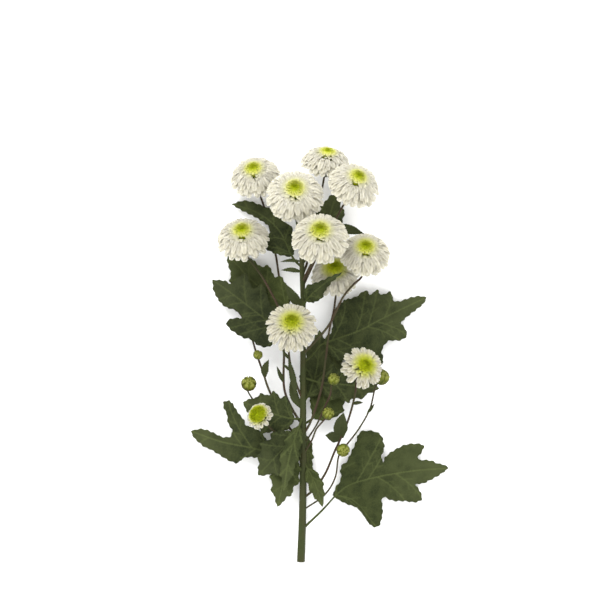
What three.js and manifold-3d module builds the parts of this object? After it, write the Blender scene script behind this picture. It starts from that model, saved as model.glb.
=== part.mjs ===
import * as THREE from 'three';
import { mergeVertices } from 'three/addons/utils/BufferGeometryUtils.js';
import Module from 'manifold-3d';

// Santini chrysanthemum: one cut spray of pompon blooms, lying on a table.
// Millimetres, +Z up. The main stem runs along +Y with its cut end at -Y.
// Places are written round a point on the table under the middle of the blooms, and the
// whole group is then shifted so that its origin is the middle of the spray's footprint.

const wasm = await Module();
wasm.setup();
const { Manifold } = wasm;

// Driving dimensions

const FOOTPRINT_MIDDLE = [13.33, -36.49, 0.14];
const CUT_RADIUS = 3.0;
const MAIN_TIP_RADIUS = 1.4;
const SIDE_STEM_RADIUS = 0.85;
const SIDE_STEM_TIP_RADIUS = 0.7;
const BUD_STEM_RADIUS = 0.6;
const PETIOLE_RADIUS = 1.0;
const PETIOLE_DEPTH = 1.7;
const SPRIG_DEPTH = 1.0;
const BLADE_THICKNESS = 0.7;
const SEAT_GAP = 0.3;

// Materials

const COLOURS = {
  petals: { color: 0xf4f4ee, roughness: 0.6 },
  centre: { color: 0xa6c83a, roughness: 0.6 },
  bud: { color: 0x9bb04a, roughness: 0.6 },
  mainStem: { color: 0x4d6a3a, roughness: 0.6 },
  sideStem: { color: 0x4a4a34, roughness: 0.6 },
  leaf: { color: 0x33482f, roughness: 0.7 },
};

// The main stem, from its cut end up to the top bloom, and the bracts on it

const MAIN_PATH = [
  [0.5, -177, 2.9], [1.5, -150, 6], [2, -120, 10], [2, -93, 14], [2, -67, 18], [2, -33, 21],
  [2, 0, 23.5], [1.3, 20, 24.5], [0.7, 37, 24], [-1.5, 52, 22.5], [-3, 59, 24], [-3.5, 64.8, 30.5],
];
const MAIN_BRACTS = [
  { path: [[0.7, 26, 24.5], [-7, 26.5, 25.5], [-13.5, 25.5, 25]], halfWidth: 1.3 },
  { path: [[0.9, 19, 24.5], [-6, 20.3, 25.2], [-13, 20, 24]], halfWidth: 1.8 },
  { path: [[1.8, -5, 23.5], [-4, 1.5, 26], [-10, 11, 26.5]], halfWidth: 3.6 },
  { path: [[1.5, -73, 17.4], [-4, -64, 16.5], [-5.5, -50, 16]], halfWidth: 3.2 },
];

// Blooms: rim radius, lean of the axis from upright and its heading in degrees, middle of the
// rim circle, and the side stem that carries it, from a height y on the main stem

const BLOOMS = [
  {
    name: 'bloom_01', radius: 17.5, lean: 40, heading: 102, middle: [-29.9, 81.3, 14.4],
    from: -85,
    via: [
      [-5.5, -73, 12.3], [-10.5, -60.5, 12.5], [-10.9, -34.7, 12.5], [-12.7, 0, 10], [-16.5, 30.7, 5],
      [-24, 62, 4.8],
    ],
    sprigs: [
      { path: [[-10.6, -56, 12.5], [-13.5, -50, 14.5], [-15.7, -44.3, 15]], halfWidth: 1.6 },
      { path: [[-12.2, -8, 10.7], [-9.7, 0, 10.6], [-12.3, 11.3, 10.6]], halfWidth: 3.5 },
    ],
  },
  {
    name: 'bloom_02', radius: 17.6, lean: 59, heading: 82, middle: [17.2, 90.6, 15.85],
    from: 16, via: [[5, 26, 17], [8, 45, 9], [13, 66, 8.5]],
  },
  {
    name: 'bloom_03', radius: 18.3, lean: 40, heading: 65, middle: [35.4, 75.2, 36.7],
    from: 9, via: [[14, 35, 22], [26, 58, 22], [31, 67, 26]],
    sprigs: [{ path: [[18.5, 43.5, 22], [30, 47.5, 22.5], [43.5, 44.3, 19]], halfWidth: 4 }],
  },
  { name: 'bloom_04', radius: 20, lean: 28, heading: 90, middle: [-3.4, 68.2, 37] },
  {
    name: 'bloom_05', radius: 18.4, lean: 41, heading: 97, middle: [-37.9, 39.2, 22],
    from: -22, via: [[-10, -13, 22], [-17.4, 1.2, 21.5], [-25.3, 15.3, 17.5], [-33, 26, 13]],
  },
  {
    name: 'bloom_06', radius: 19.6, lean: 32, heading: 92, middle: [13.4, 39.5, 57],
    from: 12, via: [[7, 23, 34], [12.5, 30, 43]],
  },
  {
    name: 'bloom_07', radius: 17.2, lean: 35, heading: 88, middle: [43.4, 29.2, 36],
    from: -36,
    via: [[8, -30, 25], [19.3, -16.7, 28], [29.2, 2.7, 31.5], [35.8, 10.5, 30.2], [41, 15.3, 27.6]],
  },
  {
    name: 'bloom_08', radius: 16.8, lean: 38, heading: 95, middle: [23.8, 15.2, 19],
    from: -91,
    via: [[7, -82, 16.5], [14.3, -59.3, 20], [17.5, -37, 19], [19.7, -20, 19], [22.9, -6, 14.5]],
  },
  {
    name: 'bloom_09', radius: 18, lean: 25, heading: 87, middle: [-5.8, -19, 42],
    from: -68, via: [[-4, -52, 22.5], [-7.5, -36, 25.5]],
    sprigs: [
      { path: [[-2.6, -63, 22], [-5.2, -50, 23.5], [-8, -38, 26]], halfWidth: 2.4 },
      { path: [[-5, -48, 23], [-9, -45, 25], [-12, -42.5, 26]], halfWidth: 1.2 },
      { path: [[-6.8, -40, 24.8], [-10, -36, 26.5], [-12.5, -33, 27.5]], halfWidth: 1.1 },
    ],
  },
  {
    name: 'bloom_10', radius: 15, lean: 22, heading: 45, middle: [41, -45.6, 34],
    form: 'loose', from: -134,
    via: [
      [10, -127, 10], [17.1, -116.7, 10.5], [23.3, -102, 11], [27, -94, 11.5], [32, -82, 13],
      [35.5, -70, 15], [37.5, -60, 18],
    ],
    sprigs: [
      { path: [[35.5, -70, 15], [39, -69, 16.5], [42.5, -69, 17]], halfWidth: 1.4 },
      { path: [[27.5, -93, 11.6], [27.5, -84, 16], [29.3, -75.5, 18.5]], halfWidth: 5.3 },
      { path: [[27, -94, 11.5], [22.5, -92, 13.5], [17, -91, 14]], halfWidth: 4.2 },
    ],
    twig: [[25.6, -97.3, 11.2], [28, -98.9, 13], [28.57, -98.8, 17.3]],
  },
  {
    name: 'bloom_11', radius: 10.3, lean: 30, heading: 140, middle: [-26.2, -78, 28],
    form: 'half_open', from: -99, via: [[-10, -93, 17.8], [-20, -86, 18.7]],
  },
];

// Petal tiers from the rim up, in rim radii as [out, up]: the ring where the tier leaves the
// head, its petal tips and the notches between them. The head ends in a top under the centre.

const FORMS = {
  full: {
    base: [0.34, -0.13],
    tiers: [
      { tip: [1.0, -0.03], notch: [0.74, 0.03] },
      { root: [0.52, 0.1], tip: [0.95, 0.18], notch: [0.68, 0.22] },
      { root: [0.46, 0.28], tip: [0.82, 0.37], notch: [0.6, 0.39] },
      { tip: [0.62, 0.54], notch: [0.46, 0.53] },
    ],
    top: 0.55,
    centre: [[0, 0.59], [0.28, 0.59], [0.32, 0.64], [0.26, 0.71], [0, 0.755]],
  },
  loose: {
    base: [0.34, -0.13],
    tiers: [
      { tip: [1.0, -0.03], notch: [0.62, 0.02] },
      { root: [0.46, 0.07], tip: [0.86, 0.17], notch: [0.58, 0.18] },
      { root: [0.4, 0.24], tip: [0.66, 0.36], notch: [0.46, 0.34] },
    ],
    top: 0.42,
    centre: [[0, 0.46], [0.34, 0.46], [0.38, 0.54], [0.3, 0.64], [0, 0.7]],
  },
  half_open: {
    base: [0.34, -0.13],
    tiers: [
      { tip: [1.0, 0.16], notch: [0.74, 0.12] },
      { root: [0.66, 0.16], tip: [0.86, 0.36], notch: [0.7, 0.32] },
    ],
    top: 0.32,
    centre: [[0, 0.37], [0.5, 0.37], [0.6, 0.46], [0.54, 0.6], [0.32, 0.7], [0, 0.72]],
  },
};
const PETALS_PER_TIER = 12;
const PETAL_THICKNESS = 0.05;
const TURN_BETWEEN_BLOOMS = 37;

// Columns of one petal's width, as [turn in petal widths, whether on the tip]. Odd tiers have
// their notches where even tiers have the middle of a petal.
const COLUMNS = [
  [[-0.23, true], [0, false], [0.23, true]],
  [[-0.27, true], [0.27, true], [0.5, false]],
];

const CUP_PROFILE = [
  [0, -0.42], [0.08, -0.42], [0.22, -0.33], [0.33, -0.2], [0.34, -0.155], [0, -0.155],
];
const CUP_BASE = 0.42;
const CUP_SIDES = 7;
const STEPS_PER_POINT = 1.4;

// Buds: a head on its own stem, or on a twig of a bloom's stem

const BUDS = [
  {
    name: 'bud_a', radius: 4.8, lean: 35, heading: 80, middle: [-34.4, -56.3, 20], from: -103,
    via: [[-10, -93, 9.5], [-22, -84, 9], [-30, -70, 10]],
  },
  {
    name: 'bud_c', radius: 3.8, lean: 40, heading: 70, middle: [22.5, -53, 32], from: -98,
    via: [[11, -84, 18], [16.4, -72, 23], [20.5, -62.3, 27]],
  },
  {
    name: 'bud_d', radius: 3.8, lean: 40, heading: 60, middle: [18.7, -76, 29], from: -104,
    via: [[8, -94, 18], [11, -86.5, 21]],
  },
  { name: 'bud_e', radius: 4.2, lean: 25, heading: -80, middle: [28.9, -100.6, 21.2] },
  {
    name: 'bud_f', radius: 5.1, lean: 60, heading: 60, middle: [54.5, -51.8, 21], from: -142,
    via: [
      [17, -131, 8.5], [23.7, -119.7, 8.8], [26.5, -104, 8.5], [32.5, -96.3, 9.5], [39.3, -87.2, 12],
      [47, -73.3, 14],
    ],
    sprigs: [{ path: [[45.2, -76.5, 13.6], [47.8, -73, 15.2], [50.2, -69.5, 17]], halfWidth: 1.2 }],
  },
];
const BUD_PROFILE = [[0, -0.95], [0.5, -0.82], [1, -0.15], [0.92, 0.4], [0.42, 0.92], [0, 0.98]];
const BUD_BASE = 0.95;

// The left side stem with two very small buds and an ovate leaf

const TWIN_BUD_STEM = {
  from: -93,
  via: [
    [-6.7, -86.7, 12], [-21, -60.4, 11], [-24.9, -48.9, 10], [-29.5, -35.9, 9], [-32.7, -25.3, 8],
    [-40, -10, 6.5], [-49, -1, 6],
  ],
  buds: [
    { radius: 3, middle: [-50, 0, 6], lean: 80, heading: 130 },
    { radius: 3, middle: [-28.4, -37, 13], lean: 30, heading: 60 },
  ],
  twigFrom: 3,
  sprigs: [{ path: [[-23.8, -52, 10.3], [-23.5, -46, 13], [-21, -40, 13.5]], halfWidth: 2.8 }],
};

// Leaf outlines from blade base to tip, one list a side, as [along, out] in blade lengths

const OUTLINES = {
  wide: {
    left: [
      [0, 0.015], [0.05, 0.05], [0.103, 0.063], [0.15, 0.147], [0.176, 0.22], [0.232, 0.272],
      [0.344, 0.3], [0.462, 0.27], [0.555, 0.29], [0.565, 0.22], [0.64, 0.255], [0.645, 0.182],
      [0.745, 0.184], [0.72, 0.087], [0.79, 0.065], [0.876, 0.059], [0.95, 0.037],
    ],
    right: [
      [0, 0.015], [0.1, 0.2], [0.2, 0.17], [0.33, 0.38], [0.41, 0.33], [0.43, 0.233], [0.523, 0.19],
      [0.621, 0.242], [0.704, 0.233], [0.692, 0.102], [0.769, 0.082], [0.867, 0.061], [0.95, 0.044],
    ],
  },
  threefold: {
    left: [
      [0, 0.02], [0.06, 0.05], [0.126, 0.07], [0.157, 0.174], [0.201, 0.185], [0.252, 0.26],
      [0.306, 0.329], [0.35, 0.401], [0.402, 0.394], [0.456, 0.373], [0.5, 0.33], [0.505, 0.221],
      [0.462, 0.155], [0.469, 0.104], [0.49, 0.15], [0.554, 0.187], [0.663, 0.227], [0.752, 0.223],
      [0.812, 0.205], [0.795, 0.155], [0.735, 0.09], [0.857, 0.075], [0.913, 0.042],
      [0.962, 0.035],
    ],
    right: [
      [0, 0.02], [0.1, 0.2], [0.3, 0.42], [0.4, 0.16], [0.6, 0.24], [0.76, 0.25], [0.7, 0.11],
      [0.846, 0.088], [0.923, 0.052],
    ],
  },
  forked: {
    left: [
      [0, 0.02], [0.096, 0.065], [0.235, 0.11], [0.317, 0.137], [0.365, 0.216], [0.474, 0.201],
      [0.584, 0.155], [0.709, 0.122], [0.84, 0.1],
    ],
    right: [
      [0, 0.02], [0.09, 0.13], [0.18, 0.22], [0.34, 0.235], [0.451, 0.362], [0.504, 0.412],
      [0.656, 0.494], [0.733, 0.45], [0.624, 0.331], [0.501, 0.163], [0.506, 0.078], [0.617, 0.053],
      [0.713, 0.074], [0.822, 0.08], [0.905, 0.065],
    ],
  },
  ragged: {
    left: [
      [0, 0.03], [0.045, 0.255], [0.248, 0.276], [0.378, 0.324], [0.5, 0.33], [0.572, 0.293],
      [0.54, 0.21], [0.44, 0.131], [0.56, 0.12], [0.68, 0.169], [0.8, 0.15],
    ],
    right: [
      [0, 0.03], [0.06, 0.12], [0.2, 0.19], [0.28, 0.15], [0.38, 0.22], [0.52, 0.29], [0.54, 0.18],
      [0.62, 0.21], [0.7, 0.28], [0.727, 0.264], [0.78, 0.079], [0.95, 0.03],
    ],
  },
  angled: {
    left: [[0, 0.03], [0.12, 0.18], [0.3, 0.3], [0.4, 0.22], [0.42, 0.05], [0.62, 0.06], [0.84, 0.05]],
    right: [[0, 0.03], [0.15, 0.1], [0.33, 0.15], [0.38, 0.1], [0.56, 0.15], [0.62, 0.1], [0.86, 0.09]],
  },
  plain: {
    left: [
      [0, 0.03], [0.08, 0.15], [0.25, 0.28], [0.3, 0.22], [0.5, 0.31], [0.55, 0.21], [0.75, 0.22],
      [0.77, 0.14], [0.93, 0.07],
    ],
    right: [
      [0, 0.03], [0.1, 0.17], [0.29, 0.29], [0.34, 0.21], [0.54, 0.3], [0.58, 0.2], [0.77, 0.2],
      [0.79, 0.12], [0.93, 0.06],
    ],
  },
  drawn_out: {
    left: [[0, 0.05], [0.1, 0.14], [0.26, 0.24], [0.4, 0.16], [0.6, 0.08], [0.8, 0.05]],
    right: [[0, 0.05], [0.08, 0.16], [0.2, 0.2], [0.34, 0.24], [0.46, 0.15], [0.7, 0.08], [0.86, 0.05]],
  },
  lance: { left: [[0, 0.06], [0.35, 0.2], [0.7, 0.14]], right: [[0, 0.06], [0.4, 0.2], [0.72, 0.13]] },
};
const HALF_WIDTHS = { plain: 0.31, drawn_out: 0.24, lance: 0.2 };
const BOWED_OUTLINES = ['wide', 'threefold', 'forked', 'ragged'];
const LOBE_BULGE = 0.12;
const LONG_SIDE = 0.13;
const MIDRIB_STOPS = {
  wide: [0, 0.15, 0.3, 0.45, 0.6, 0.75, 0.88],
  plain: [0, 0.2, 0.4, 0.6, 0.8],
  drawn_out: [0, 0.3, 0.55, 0.8],
  lance: [0.5],
};

// Leaves: height y of the base on the main stem, midrib, length of stalk before the blade,
// outline, half width where the outline is plain, rise of each half per millimetre, and wave

const LEAVES = [
  {
    name: 'leaf_01_wide', from: -42, outline: 'wide', stalk: 20, fold: -0.03, wave: 1.2,
    via: [
      [9.1, -36.3, 14.5], [13.4, -30.8, 13], [26.3, -25.6, 11], [39.3, -21, 9.5], [54.8, -12.9, 7],
      [85.8, 2, 1.4],
    ],
  },
  {
    name: 'leaf_02_threefold', from: -155, outline: 'threefold', stalk: 31, fold: 0.01, wave: 0.5,
    via: [
      [14.2, -142.9, 5.5], [30.4, -126.7, 5.2], [46.6, -120.9, 4.8], [75.6, -115.6, 3.5],
      [100.8, -113.7, 1.4],
    ],
  },
  {
    name: 'leaf_03_forked', from: -108, outline: 'forked', stalk: 22, fold: 0.08, wave: 0.5,
    via: [[-10.1, -105.6, 12.5], [-30.3, -100.1, 11.4], [-52.7, -95.7, 7], [-74.1, -88.6, 1.8]],
  },
  {
    name: 'leaf_04_ragged', from: -30, outline: 'ragged', stalk: 16, fold: 0.05, wave: 1.2,
    via: [[-12.1, -20.6, 19], [-30.2, -7.6, 17], [-45.4, 4, 13.5], [-59.2, 13.8, 8]],
  },
  {
    name: 'leaf_05', from: -8, outline: 'plain', halfWidth: 16.5, stalk: 12, fold: 0.04, wave: 0.8,
    via: [[-8.1, -4, 16.5], [-14.1, 0, 13.6], [-25.3, 7.1, 10.5], [-37.5, 18.2, 7], [-49.2, 31.4, 4.5]],
  },
  {
    name: 'leaf_06', from: 22, outline: 'angled', stalk: 12, fold: -0.08, wave: 0.5,
    via: [[-4, 27.2, 20], [-13.8, 46.5, 11], [-24.3, 56.2, 8], [-34.4, 61.3, 6.8], [-46.6, 64.8, 5.5]],
  },
  {
    name: 'leaf_07', from: 24, outline: 'plain', halfWidth: 14.5, stalk: 8, fold: 0.05, wave: 0.6,
    via: [[8.1, 32.2, 18], [16.1, 46.4, 15], [25.3, 73.8, 10]],
  },
  {
    name: 'leaf_08', from: -4, outline: 'drawn_out', halfWidth: 7, stalk: 5, fold: 0.12, wave: 0.4,
    via: [[6, 2, 29], [12, 7.5, 32.5], [19, 13, 34.5], [28.5, 18.7, 36]],
  },
  {
    name: 'leaf_09', from: -80, outline: 'plain', halfWidth: 16, stalk: 6, fold: 0.03, wave: 0.7,
    via: [[-6.1, -79.7, 16.3], [-20.2, -75.7, 13.8], [-38.4, -68.7, 12]],
  },
  {
    name: 'leaf_10', from: -86, outline: 'plain', halfWidth: 15, stalk: 8, fold: 0.04, wave: 0.8,
    via: [[-3, -90.6, 21], [-14.1, -102.7, 20.5], [-28.3, -118.2, 12]],
  },
  {
    name: 'leaf_11', from: -101, outline: 'plain', halfWidth: 11, stalk: 6, fold: 0.05, wave: 0.6,
    via: [[-5, -105.9, 15.2], [-10.1, -119.2, 13], [-15.2, -139.6, 9.5]],
  },
  {
    name: 'leaf_12', from: -108, outline: 'plain', halfWidth: 6, stalk: 6, fold: 0.05, wave: 0.5,
    via: [[6.6, -116.1, 13.5], [11.1, -126.2, 13.5], [15.2, -139.4, 12.5]],
  },
  {
    name: 'leaf_13', from: -84, outline: 'plain', halfWidth: 15, stalk: 9, fold: 0.02, wave: 0.3,
    via: [[9.1, -79.3, 12.5], [15.5, -72.3, 11], [21.2, -61.7, 9.5], [24.3, -48.6, 8.5], [21.3, -33.4, 8]],
  },
  {
    name: 'leaf_14', from: -52, outline: 'plain', halfWidth: 13, stalk: 10, fold: 0.05, wave: 0.8,
    via: [[12.1, -55, 16], [30.3, -57, 14], [53.6, -59.7, 9]],
  },
  {
    name: 'leaf_15', from: -78, outline: 'plain', halfWidth: 7, stalk: 8, fold: 0.05, wave: 0.5,
    via: [[-2, -88.5, 23], [-7, -104.5, 24.5], [-11.1, -128.9, 19]],
  },
  {
    name: 'leaf_16', from: -88, outline: 'plain', halfWidth: 4.5, stalk: 5, fold: 0.05, wave: 0.3,
    via: [[4.5, -94, 10.5], [5.1, -107.2, 9], [7.1, -122.5, 8]],
  },
  {
    name: 'leaf_17', from: -70, outline: 'plain', halfWidth: 12, stalk: 6, fold: 0.03, wave: 0.5,
    via: [[6.1, -62.6, 14.5], [10.6, -49.5, 12], [12.6, -36.4, 10], [13.2, -20.2, 9]],
  },
];

// Solids

const UP = new THREE.Vector3(0, 0, 1);
const toVector = (point) => new THREE.Vector3(...point);
const curveThrough = (points) => new THREE.CatmullRomCurve3(points.map(toVector), false, 'centripetal');

function solidOf(geometry) {
  geometry.deleteAttribute('normal');
  geometry.deleteAttribute('uv');
  const merged = mergeVertices(geometry, 1e-5);
  return new Manifold(new wasm.Mesh({
    numProp: 3,
    vertProperties: new Float32Array(merged.attributes.position.array),
    triVerts: new Uint32Array(merged.index.array),
  }));
}

function solidFrom(vertices, triangles) {
  const geometry = new THREE.BufferGeometry().setFromPoints(vertices);
  geometry.setIndex(triangles.flat());
  return solidOf(geometry);
}

function geometryOf(solid) {
  const mesh = solid.getMesh();
  const geometry = new THREE.BufferGeometry();
  geometry.setAttribute('position', new THREE.BufferAttribute(mesh.vertProperties, 3));
  geometry.setIndex(new THREE.BufferAttribute(mesh.triVerts, 1));
  geometry.computeVertexNormals();
  return geometry;
}

// Joins rings of equal count, each anticlockwise along the way, and closes both ends to a point
function loft(rings, start, end) {
  const count = rings[0].length;
  const triangles = [];
  const [first, last] = [rings.length * count, rings.length * count + 1];
  for (let side = 0; side < count; side += 1) {
    const next = (side + 1) % count;
    triangles.push([first, next, side]);
    for (let ring = 0; ring + 1 < rings.length; ring += 1) {
      const [a, b] = [ring * count + side, ring * count + next];
      triangles.push([a, b, b + count], [a, b + count, a + count]);
    }
    triangles.push([last, last - 1 - count + side, last - 1 - count + next]);
  }
  return solidFrom([...rings.flat(), start, end], triangles);
}

// A tapering round limb along a curve
function limb(points, startRadius, endRadius, sides, steps) {
  const curve = curveThrough(points);
  const frames = curve.computeFrenetFrames(steps, false);
  const middles = Array.from({ length: steps + 1 }, (_, step) => curve.getPointAt(step / steps));
  const rings = middles.map((middle, step) => {
    const radius = THREE.MathUtils.lerp(startRadius, endRadius, step / steps);
    return Array.from({ length: sides }, (_, side) => {
      const angle = (2 * Math.PI * (side + 0.5)) / sides;
      return middle.clone()
        .addScaledVector(frames.normals[step], radius * Math.cos(angle))
        .addScaledVector(frames.binormals[step], radius * Math.sin(angle));
    });
  });
  return loft(rings, middles[0], middles[steps]);
}

// A turned profile of [radius, height] pairs about +Z, its skin swelling and sinking by relief
function turned(profile, scale, sides, relief = 0) {
  const points = profile.map(([radius, height]) => new THREE.Vector2(radius * scale, height * scale));
  const geometry = new THREE.LatheGeometry(points, sides).rotateX(Math.PI / 2);
  const place = geometry.attributes.position;
  for (let index = 0; index < place.count; index += 1) {
    const [x, y] = [place.getX(index), place.getY(index)];
    const swell = 1 + relief * Math.cos((sides / 2) * Math.atan2(y, x));
    place.setXY(index, x * swell, y * swell);
  }
  return solidOf(geometry);
}

// Heads: where a bloom or bud sits and how its axis leans

function axisOf({ lean, heading }) {
  const [tilt, turn] = [THREE.MathUtils.degToRad(lean), THREE.MathUtils.degToRad(heading)];
  return new THREE.Vector3(
    Math.sin(tilt) * Math.cos(turn), Math.sin(tilt) * Math.sin(turn), Math.cos(tilt));
}

function placementOf(head) {
  const turn = new THREE.Quaternion().setFromUnitVectors(UP, axisOf(head));
  return new THREE.Matrix4().compose(toVector(head.middle), turn, new THREE.Vector3(1, 1, 1));
}

const seatOn = (head, below) => (
  toVector(head.middle).addScaledVector(axisOf(head), -below).toArray());

// Blooms

// A ring of one tier, at its tips and notches, or round where both are the same
function petalRing(radius, tier, tip, notch, turn) {
  const width = (2 * Math.PI) / PETALS_PER_TIER;
  const columns = COLUMNS[tier % 2];
  return Array.from({ length: PETALS_PER_TIER * columns.length }, (_, index) => {
    const [offset, onTip] = columns[index % columns.length];
    const angle = turn + width * (Math.floor(index / columns.length) + offset);
    const [out, up] = onTip ? tip : notch;
    return new THREE.Vector3(Math.cos(angle) * out, Math.sin(angle) * out, up).multiplyScalar(radius);
  });
}

function petalHead({ radius, form = 'full' }, index) {
  const { base, tiers, top } = FORMS[form];
  const turn = THREE.MathUtils.degToRad(TURN_BETWEEN_BLOOMS * index);
  const rings = [petalRing(radius, 0, base, base, turn)];
  const under = ([out, up]) => [out, up - PETAL_THICKNESS];
  tiers.forEach(({ root, tip, notch }, tier) => {
    if (root) rings.push(petalRing(radius, tier, root, root, turn));
    rings.push(petalRing(radius, tier, under(tip), under(notch), turn));
    rings.push(petalRing(radius, tier, tip, notch, turn));
  });
  const onAxis = (up) => new THREE.Vector3(0, 0, up * radius);
  return loft(rings, onAxis(base[1]), onAxis(top));
}

const centreButton = ({ radius, form = 'full' }) => turned(FORMS[form].centre, radius, 12, 0.05);

// Leaves

// One side of an outline, with a point pushed out in the middle of each long side
function bowed(side) {
  const points = [...side, [1, 0]];
  return side.flatMap(([along, out], index) => {
    const [nextAlong, nextOut] = points[index + 1];
    const [dAlong, dOut] = [nextAlong - along, nextOut - out];
    if (Math.hypot(dAlong, dOut) < LONG_SIDE) return [[along, out]];
    const middle = [
      (along + nextAlong) / 2 - LOBE_BULGE * dOut, (out + nextOut) / 2 + LOBE_BULGE * dAlong,
    ];
    return [[along, out], middle];
  });
}

// A lobed blade and its stalk on one midrib, both faces split into the same triangles
function blade({ path, stalk = 0, outline, halfWidth, fold = 0.1, wave = 0, depth = SPRIG_DEPTH }) {
  const midrib = curveThrough(path);
  const whole = midrib.getLength();
  const length = whole - stalk;
  const widen = halfWidth ? halfWidth / (HALF_WIDTHS[outline] * length) : 1;
  const taper = stalk > 0 ? 0.2 * length : 0.5 * length;
  const thicknessAt = (along) => (
    THREE.MathUtils.lerp(depth, BLADE_THICKNESS, THREE.MathUtils.clamp(along / taper, 0, 1)));
  const place = ([along, across], face) => {
    const t = THREE.MathUtils.clamp((stalk + along) / whole, 0, 1);
    const ahead = midrib.getTangentAt(t);
    const left = new THREE.Vector3().crossVectors(UP, ahead).normalize();
    const normal = new THREE.Vector3().crossVectors(ahead, left);
    const ripple = wave * Math.sin((4 * Math.PI * along) / length)
      * Math.min(1, Math.abs(across) / (0.2 * length));
    const rise = along > 0 ? fold * Math.abs(across) + ripple : 0;
    return midrib.getPointAt(t)
      .addScaledVector(left, across)
      .addScaledVector(normal, rise + (face * thicknessAt(along)) / 2);
  };

  const stalkSteps = stalk > 0 ? [-1, -0.75, -0.5, -0.25].map((part) => part * stalk) : [];
  const sideOf = (name, sign) => {
    const side = OUTLINES[outline][name];
    const shaped = BOWED_OUTLINES.includes(outline) ? bowed(side) : side;
    return [
      ...stalkSteps.map((along) => [along, sign * PETIOLE_RADIUS]),
      ...shaped.map(([along, out]) => [along * length, sign * out * length * widen]),
    ];
  };
  const left = sideOf('left', 1);
  const right = sideOf('right', -1);
  const inner = MIDRIB_STOPS[outline] ?? MIDRIB_STOPS.wide;
  const rib = [...stalkSteps.slice(1), ...inner.map((part) => part * length)].map((along) => [along, 0]);
  const rim = [[-stalk, 0], ...right, [length, 0], ...left.reverse()];
  const points = [...rim, ...rib];

  // Side veins from the midrib to the nearest edge point part each half into small fields
  const tip = 1 + right.length;
  const chain = [0, ...rib.map((_, number) => rim.length + number), tip];
  const edges = [
    Array.from({ length: tip }, (_, number) => number + 1),
    Array.from({ length: rim.length - tip }, (_, number) => rim.length - 1 - number),
  ];
  const apart = (one, other) => (
    Math.hypot(points[one][0] - points[other][0], points[one][1] - points[other][1]));
  const closest = (edge, number) => edge.reduce((best, corner, place) => (
    apart(corner, number) < apart(edge[best], number) ? place : best), 0);
  const triangles = [];
  const under = points.length;
  for (const [side, edge] of edges.entries()) {
    const nearest = chain.slice(1, -1).map((number) => closest(edge, number));
    const ends = [0, ...nearest, edge.length - 1];
    for (let field = 0; field + 1 < chain.length; field += 1) {
      const between = edge.slice(ends[field], ends[field + 1] + 1);
      const ring = [...new Set([chain[field], ...between, chain[field + 1]])];
      if (side === 1) ring.reverse();
      const flat = ring.map((number) => new THREE.Vector2(...points[number]));
      for (const face of THREE.ShapeUtils.triangulateShape(flat, [])) {
        const [a, b, c] = face.map((corner) => ring[corner]);
        triangles.push([a, b, c], [c + under, b + under, a + under]);
      }
    }
  }
  rim.forEach((_, number) => {
    const next = (number + 1) % rim.length;
    triangles.push([number, number + under, next + under], [number, next + under, next]);
  });
  const faceVertices = (face) => points.map((point) => place(point, face));
  return solidFrom([...faceVertices(1), ...faceVertices(-1)], triangles);
}

const sprig = ({ path, halfWidth }) => blade({ path, outline: 'lance', halfWidth });

// Stems

const mainCurve = curveThrough(MAIN_PATH);

// The point of the main stem's axis at a height y
function mainPoint(y) {
  let [low, high] = [0, 1];
  while (high - low > 1e-6) {
    const middle = (low + high) / 2;
    if (mainCurve.getPoint(middle).y < y) low = middle;
    else high = middle;
  }
  return mainCurve.getPoint(low).toArray();
}

const mainLimb = (extra) => limb(MAIN_PATH, CUT_RADIUS + extra, MAIN_TIP_RADIUS + extra, 8, 18);
const mainStemAndGap = mainLimb(SEAT_GAP);

const cupUnder = (bloom) => (
  turned(CUP_PROFILE, bloom.radius, CUP_SIDES).transform(placementOf(bloom).elements));
const budHead = (bud) => turned(BUD_PROFILE, bud.radius, bud.radius > 3 ? 12 : 8, 0.06);
const stepsOn = (path) => Math.round(STEPS_PER_POINT * path.length);

function bloomStem(bloom) {
  const base = CUP_BASE * bloom.radius;
  const path = [mainPoint(bloom.from), ...bloom.via, seatOn(bloom, base + 4), seatOn(bloom, base - 1)];
  const stem = limb(path, SIDE_STEM_RADIUS, SIDE_STEM_TIP_RADIUS, 5, stepsOn(path));
  const twigs = bloom.twig ? [limb(bloom.twig, BUD_STEM_RADIUS, BUD_STEM_RADIUS, 5, 3)] : [];
  return Manifold.union([stem, cupUnder(bloom), ...(bloom.sprigs ?? []).map(sprig), ...twigs])
    .subtract(mainStemAndGap);
}

function budStem(bud) {
  const base = BUD_BASE * bud.radius + SEAT_GAP;
  const path = [mainPoint(bud.from), ...bud.via, seatOn(bud, base + 4), seatOn(bud, base)];
  const stem = limb(path, BUD_STEM_RADIUS, BUD_STEM_RADIUS, 5, stepsOn(path));
  return Manifold.union([stem, ...(bud.sprigs ?? []).map(sprig)]).subtract(mainStemAndGap);
}

function twinBudStem({ from, via, buds, twigFrom, sprigs }) {
  const path = [mainPoint(from), ...via];
  const stem = limb(path, SIDE_STEM_RADIUS, BUD_STEM_RADIUS, 5, stepsOn(path));
  const twig = limb([via[twigFrom], seatOn(buds[1], 0)], BUD_STEM_RADIUS, BUD_STEM_RADIUS, 5, 2);
  const heads = buds.map((bud) => budHead(bud).transform(placementOf(bud).elements));
  return Manifold.union([stem, twig, ...heads, ...sprigs.map(sprig)]).subtract(mainStemAndGap);
}

function leaf(spec) {
  const path = [mainPoint(spec.from), ...spec.via];
  return blade({ ...spec, path, depth: PETIOLE_DEPTH }).subtract(mainStemAndGap);
}

// The spray

const spray = new THREE.Group();
spray.position.set(...FOOTPRINT_MIDDLE).negate();

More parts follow.
